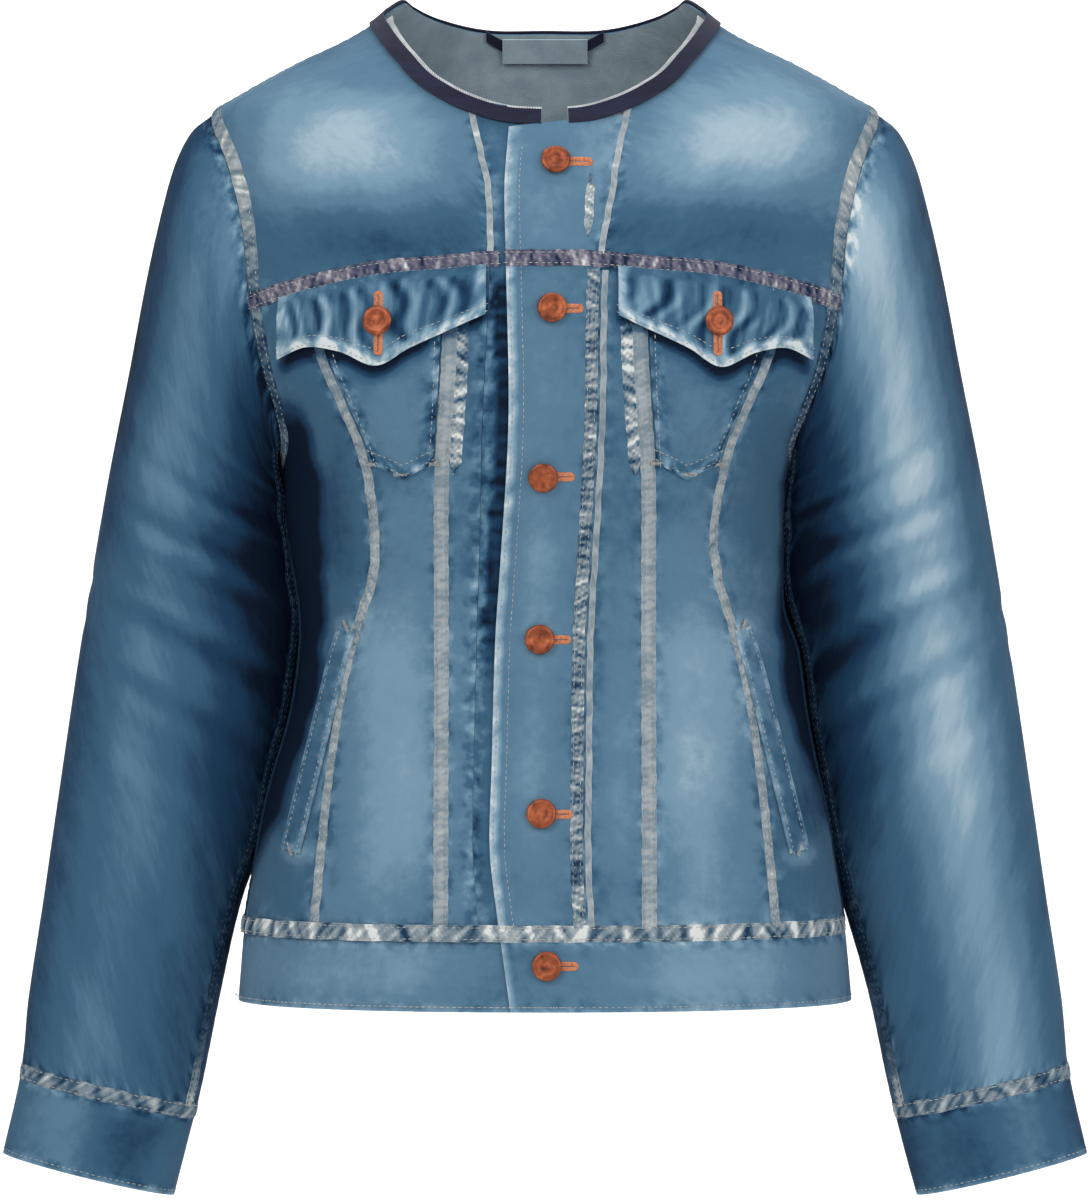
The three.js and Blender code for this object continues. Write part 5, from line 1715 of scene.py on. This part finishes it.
def front_stitches(side):
    """Rows of stitches on one half of the front, each beside its seam or edge."""
    rows = []
    for column, seed in (("inner", 1.0), ("outer", 2.0)):
        seam = on_body(lower_seam(front_seam(side, column)), 0.01, 0.8)
        rows += double_rows(seam, f"{column}_seam", seed)
    on_yoke = YOKE_STRIP_LIFT + ON_STRIP
    for offset, seed in ((5.6, 3.0), (-0.6, 4.0)):
        rows.append(stitch_row(yoke_path(side), side * offset, on_yoke, seed, laps=side > 0))
    for edge, inset in (("left", 0.045), ("right", 0.045), ("bottom", 0.02), ("bottom", 0.075)):
        rows.append(stitch_row(patch_edge(pocket_patch(side), edge, inset), 0, ONE_LAYER, 5 + inset))
    for inset in (0.045, 0.19):
        rows.append(stitch_row(patch_edge(flap_patch(side), "bottom", inset), 0, 2 * ONE_LAYER, 6 + inset))
    for edge in ("left", "right"):
        rows.append(stitch_row(patch_edge(welt_patch(side), edge, 0.16), 0, ONE_LAYER, 7))
    return rows


def opening_stitches():
    free = on_body(opening_edge_up(lambda z: look_up(OPENING, z, "free")), 0.01, 1.75)
    seam = on_body(lower_seam(opening_edge(1)), 0.02, 0.96)
    rows = [stitch_row(free, offset, 0.05, 8 + offset, laps=True) for offset in (-2.2, -8.4)]
    return rows + [stitch_row(seam, offset, ON_STRIP, 9 + offset, laps=True) for offset in (1.4, 5.6)]


def body_stitches():
    rows = double_rows(around_body(BAND_SEAM_Z, -25, 8), 9, 10.0, laps=True)
    rows.append(stitch_row(around_body(HEM_Z + 3, -18, 12), 0, -0.05, 11.0, laps=True))
    rows += double_rows(back_yoke_path(), "back_yoke_seam", 12.0)
    for side in (-1, 1):
        rows += double_rows(on_body(back_seam(side), 0.01, 0.98), "back_seam", 13.0 + side)
        for offset in (2.4, 8.0):
            rows.append(stitch_row(armhole_path(side, 175), -side * offset, ON_STRIP, 14.0 + side))
    return rows


def sleeve_stitches(side):
    last_ring = CUFF_SEAM_RING - 0.2
    back = along_sleeve(side, BACK_SLEEVE_SEAM, 0.8, last_ring)
    rows = double_rows(back, "back_sleeve_seam", 16.0)
    rows += double_rows(around_sleeve(side, CUFF_SEAM_RING, 3, 357), "cuff_seam", 18.0)
    end = around_sleeve(side, CUFF_END_RING - 0.12, 3, 357)
    return rows + [stitch_row(end, 0, 0.05, 19.0)]


def inner_arm_stitches(side):
    front = along_sleeve(side, FRONT_SLEEVE_SEAM, 2.2, CUFF_SEAM_RING - 0.2)
    return double_rows(front, "front_sleeve_seam", 17.0)


# Short dense rows that hold the ends of the pockets and welts: x, z, lean from upright and length.
TACKS = [(81, -265, 90, 7), (113, -351, 20, 7), (144, -478, 20, 7), (62, -259, 90, 5), (98, -259, 90, 5)]


def add_sewing():
    for side in (-1, 1):
        name = side_name(side)
        stitch_mesh(f"front_stitches_{name}", front_stitches(side), STITCH, THREAD)
        stitch_mesh(f"sleeve_stitches_{name}", sleeve_stitches(side), STITCH, THREAD)
        stitch_mesh(f"inner_arm_stitches_{name}", inner_arm_stitches(side), STITCH, SHADED_THREAD)
        tacks = []
        for x, z, lean, length in TACKS:
            line = short_line(side * x, z, side * lean, length)
            tacks.append(stitch_row(line, 0, ONE_LAYER, kind=TACK, crosswise=True))
        stitch_mesh(f"bar_tacks_{name}", tacks, TACK, THREAD)
    stitch_mesh("body_stitches", body_stitches(), STITCH, THREAD)
    stitch_mesh("opening_stitches", opening_stitches(), STITCH, THREAD)


HOLE = {"gap": 0.45, "width": 2.3, "height": 0.55, "ridge": 0.75, "columns": 9}


def add_buttonhole(name, x, z, start, end, upright, lift, laps):
    """A worked buttonhole: a long ring of close stitches on the cloth, from start to end of its line."""
    spacing = HOLE["ridge"] / 3
    middle_radius = (HOLE["gap"] + HOLE["width"]) / 2
    straight = end - start - 2 * middle_radius
    steps = int(round(straight / spacing))
    bend = max(6, int(round(math.pi * middle_radius / spacing)))
    rows = []
    for sign in (1, -1):
        for k in range(steps):
            reach = sign * (k / steps - 0.5) * straight
            rows.append((reach, 0.0, 0.0, -sign))
        for k in range(bend):
            angle = k / bend * math.pi
            rows.append((sign * straight / 2, 0.0, sign * math.sin(angle), -sign * math.cos(angle)))
    rows = np.array(rows)
    radius = np.linspace(HOLE["gap"] / 2, HOLE["gap"] / 2 + HOLE["width"], HOLE["columns"])[None, :]
    along = rows[:, :1] + rows[:, 2:3] * radius + (start + end) / 2
    side_step = rows[:, 3:4] * radius
    place_x, place_z = (x - side_step, z + along) if upright else (x + along, z + side_step)
    turn = turn_at(place_x, place_z)
    normal = BODY_SURFACE.normal(turn, place_z)
    share = np.linspace(-1, 1, HOLE["columns"])[None, :]
    ridges = 0.75 + 0.25 * np.cos(2 * math.pi * np.arange(len(rows)) / 3)[:, None]
    rise = lift + HOLE["height"] * np.sqrt(np.maximum(0, 1 - share ** 2)) * ridges
    if laps:
        rise = rise + lap_lift(turn, place_z)
    points = BODY_SURFACE.point(turn, place_z) + normal * rise[..., None]
    closed = points.swapaxes(0, 1)
    piece = make_shell(name, closed, normal.swapaxes(0, 1), 0.15, (COPPER_THREAD, COPPER_THREAD), True)
    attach(piece, "root")


def add_buttonholes():
    for k, (x, z) in enumerate(CENTRE_BUTTONS):
        reach = 20 if k == 0 else 16.5
        add_buttonhole(f"buttonhole_{k + 1}", x, z, -3, reach, False, 0.2, True)
    for name, (x, z) in FLAP_BUTTONS.items():
        add_buttonhole(f"flap_buttonhole_{name}", x, z, -18, 15.5, True, 2 * ONE_LAYER + 0.2, False)


# Buttons: radius and rise of each ring, from the middle of the face round to the foot of the shank.
BUTTON_SIDES = 48
BUTTON_STAND = 0.7  # the shank's foot stands this far off the cloth
BUTTON_PROFILE = [
    (0.0, 3.0), (1.2, 3.05), (2.2, 2.7), (3.4, 2.65), (4.6, 3.0), (6.0, 3.35), (7.2, 3.3),
    (8.0, 2.9), (8.4, 2.3), (8.3, 1.7), (7.6, 1.3), (4.0, 1.2), (3.0, 0.9), (3.0, 0.0),
]


def add_button(name, x, z, height, tilt):
    """A dished button on a short shank, turned from its profile and a little tilted."""
    turn = turn_at(x, z)
    normal = BODY_SURFACE.normal(turn, z)
    base = BODY_SURFACE.point(turn, z) + normal * height
    up = unit(normal + np.array([tilt, 0, 0.5 * tilt]))
    right = unit(np.cross(np.array([0.0, 0.0, 1.0]), up))
    above = np.cross(up, right)
    angle = np.arange(BUTTON_SIDES) / BUTTON_SIDES * 2 * math.pi
    ring = np.cos(angle)[:, None] * right + np.sin(angle)[:, None] * above
    points = np.array([base + up * rise + ring * max(radius, 0.02) for radius, rise in BUTTON_PROFILE])
    j, i = np.indices((len(BUTTON_PROFILE) - 1, BUTTON_SIDES)).reshape(2, -1)
    row = j * BUTTON_SIDES
    above_row = row + BUTTON_SIDES
    after = (i + 1) % BUTTON_SIDES
    quads = np.stack([row + i, above_row + i, above_row + after, row + after], -1)
    piece = mesh_object(f"{name}_metal", points.reshape(-1, 3), quads, materials=(COPPER,))
    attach(piece, "root")
    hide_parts(name)


def add_buttons():
    for k, (x, z) in enumerate(CENTRE_BUTTONS):
        add_button(f"centre_button_{k + 1}", x, z, ONE_LAYER + BUTTON_STAND, 0.05 * wobble(k * 0.37, 2.0))
    for name, (x, z) in FLAP_BUTTONS.items():
        add_button(f"flap_button_{name}", x, z, 2 * ONE_LAYER + BUTTON_STAND, 0.04)


# The studio.

def add_studio():
    floor_z = -1.3
    back_y = 6.0
    bend = 0.5
    run = [(-4.2, floor_z), (back_y, floor_z)]
    for k in range(1, 13):
        angle = k / 12 * math.pi / 2
        run.append((back_y + bend * math.sin(angle), floor_z + bend * (1 - math.cos(angle))))
    run.append((back_y + bend, 3.2))
    vertices = [(x, y / MM, z / MM) for y, z in run for x in (-3000, 3000)]
    quads = np.array([[2 * k, 2 * k + 1, 2 * k + 3, 2 * k + 2] for k in range(len(run) - 1)])
    backdrop = mesh_object("studio_backdrop", vertices, quads, materials=(backdrop_material(),))


def add_light(name, place, target, size, watts, colour):
    data = bpy.data.lights.new(name, "AREA")
    data.shape = "RECTANGLE"
    data.size, data.size_y = size
    data.energy = watts
    data.color = colour
    light = bpy.data.objects.new(name, data)
    bpy.context.scene.collection.objects.link(light)
    light.location = place
    light.rotation_euler = look_rotation(np.array(target, float) - np.array(place, float))


def look_rotation(direction):
    """Euler angles that point an object's -Z axis along a direction, with Y up."""
    x, y, z = direction / np.linalg.norm(direction)
    tilt = math.acos(-z)
    heading = math.atan2(-x, y)
    return (tilt, 0, heading)


# Each light's place, target and size in metres, its watts and its colour.
CENTRE = (0, 0, -0.33)
LIGHTS = {
    "key": ((-1.5, -2.2, 1.3), CENTRE, (1.6, 1.6), 38, (1.0, 0.99, 0.97)),
    "fill": ((1.7, -2.1, 0.5), CENTRE, (1.8, 1.8), 26, (0.97, 0.98, 1.0)),
    "top": ((0, 0.1, 1.6), CENTRE, (1.6, 1.2), 14, (1, 1, 1)),
    "back": ((0.6, 2.0, 1.2), CENTRE, (1.6, 1.6), 9, (1, 1, 1)),
    "backdrop": ((0, 4.2, 2.2), (0, 6.5, -0.7), (2.4, 1.6), 130, (1, 1, 1)),
}


def add_lights():
    for name, light in LIGHTS.items():
        add_light(name, *light)
    world = bpy.data.worlds.new("studio")
    world.use_nodes = True
    background = world.node_tree.nodes["Background"]
    background.inputs["Color"].default_value = (1.0, 1.0, 1.0, 1)
    background.inputs["Strength"].default_value = 0.55
    bpy.context.scene.world = world
    bpy.context.scene.view_settings.view_transform = "Standard"


def add_camera():
    """Level and straight on, as far off as the photograph's spreading view tells."""
    data = bpy.data.cameras.new("camera")
    data.sensor_fit = "VERTICAL"
    data.sensor_height = 36
    data.sensor_width = 36
    data.lens = 175.9
    data.clip_end = 20
    camera = bpy.data.objects.new("camera", data)
    bpy.context.scene.collection.objects.link(camera)
    camera.location = (0, -3.4, -0.336)
    camera.rotation_euler = (math.pi / 2, 0, 0)
    bpy.context.scene.camera = camera


for side in (-1, 1):
    add_front_yoke(side)
    add_front_panels(side)
    add_sleeve(side)
    add_chest(side)
    add_sleeve_seams(side)
add_back_yoke()
add_back_panels()
add_opening()
add_body_seams()
add_hem_band()
add_neck_edge()
add_neck_tab()
add_sewing()
add_buttonholes()
add_buttons()
add_studio()
add_lights()
add_camera()

bpy.context.view_layer.update()
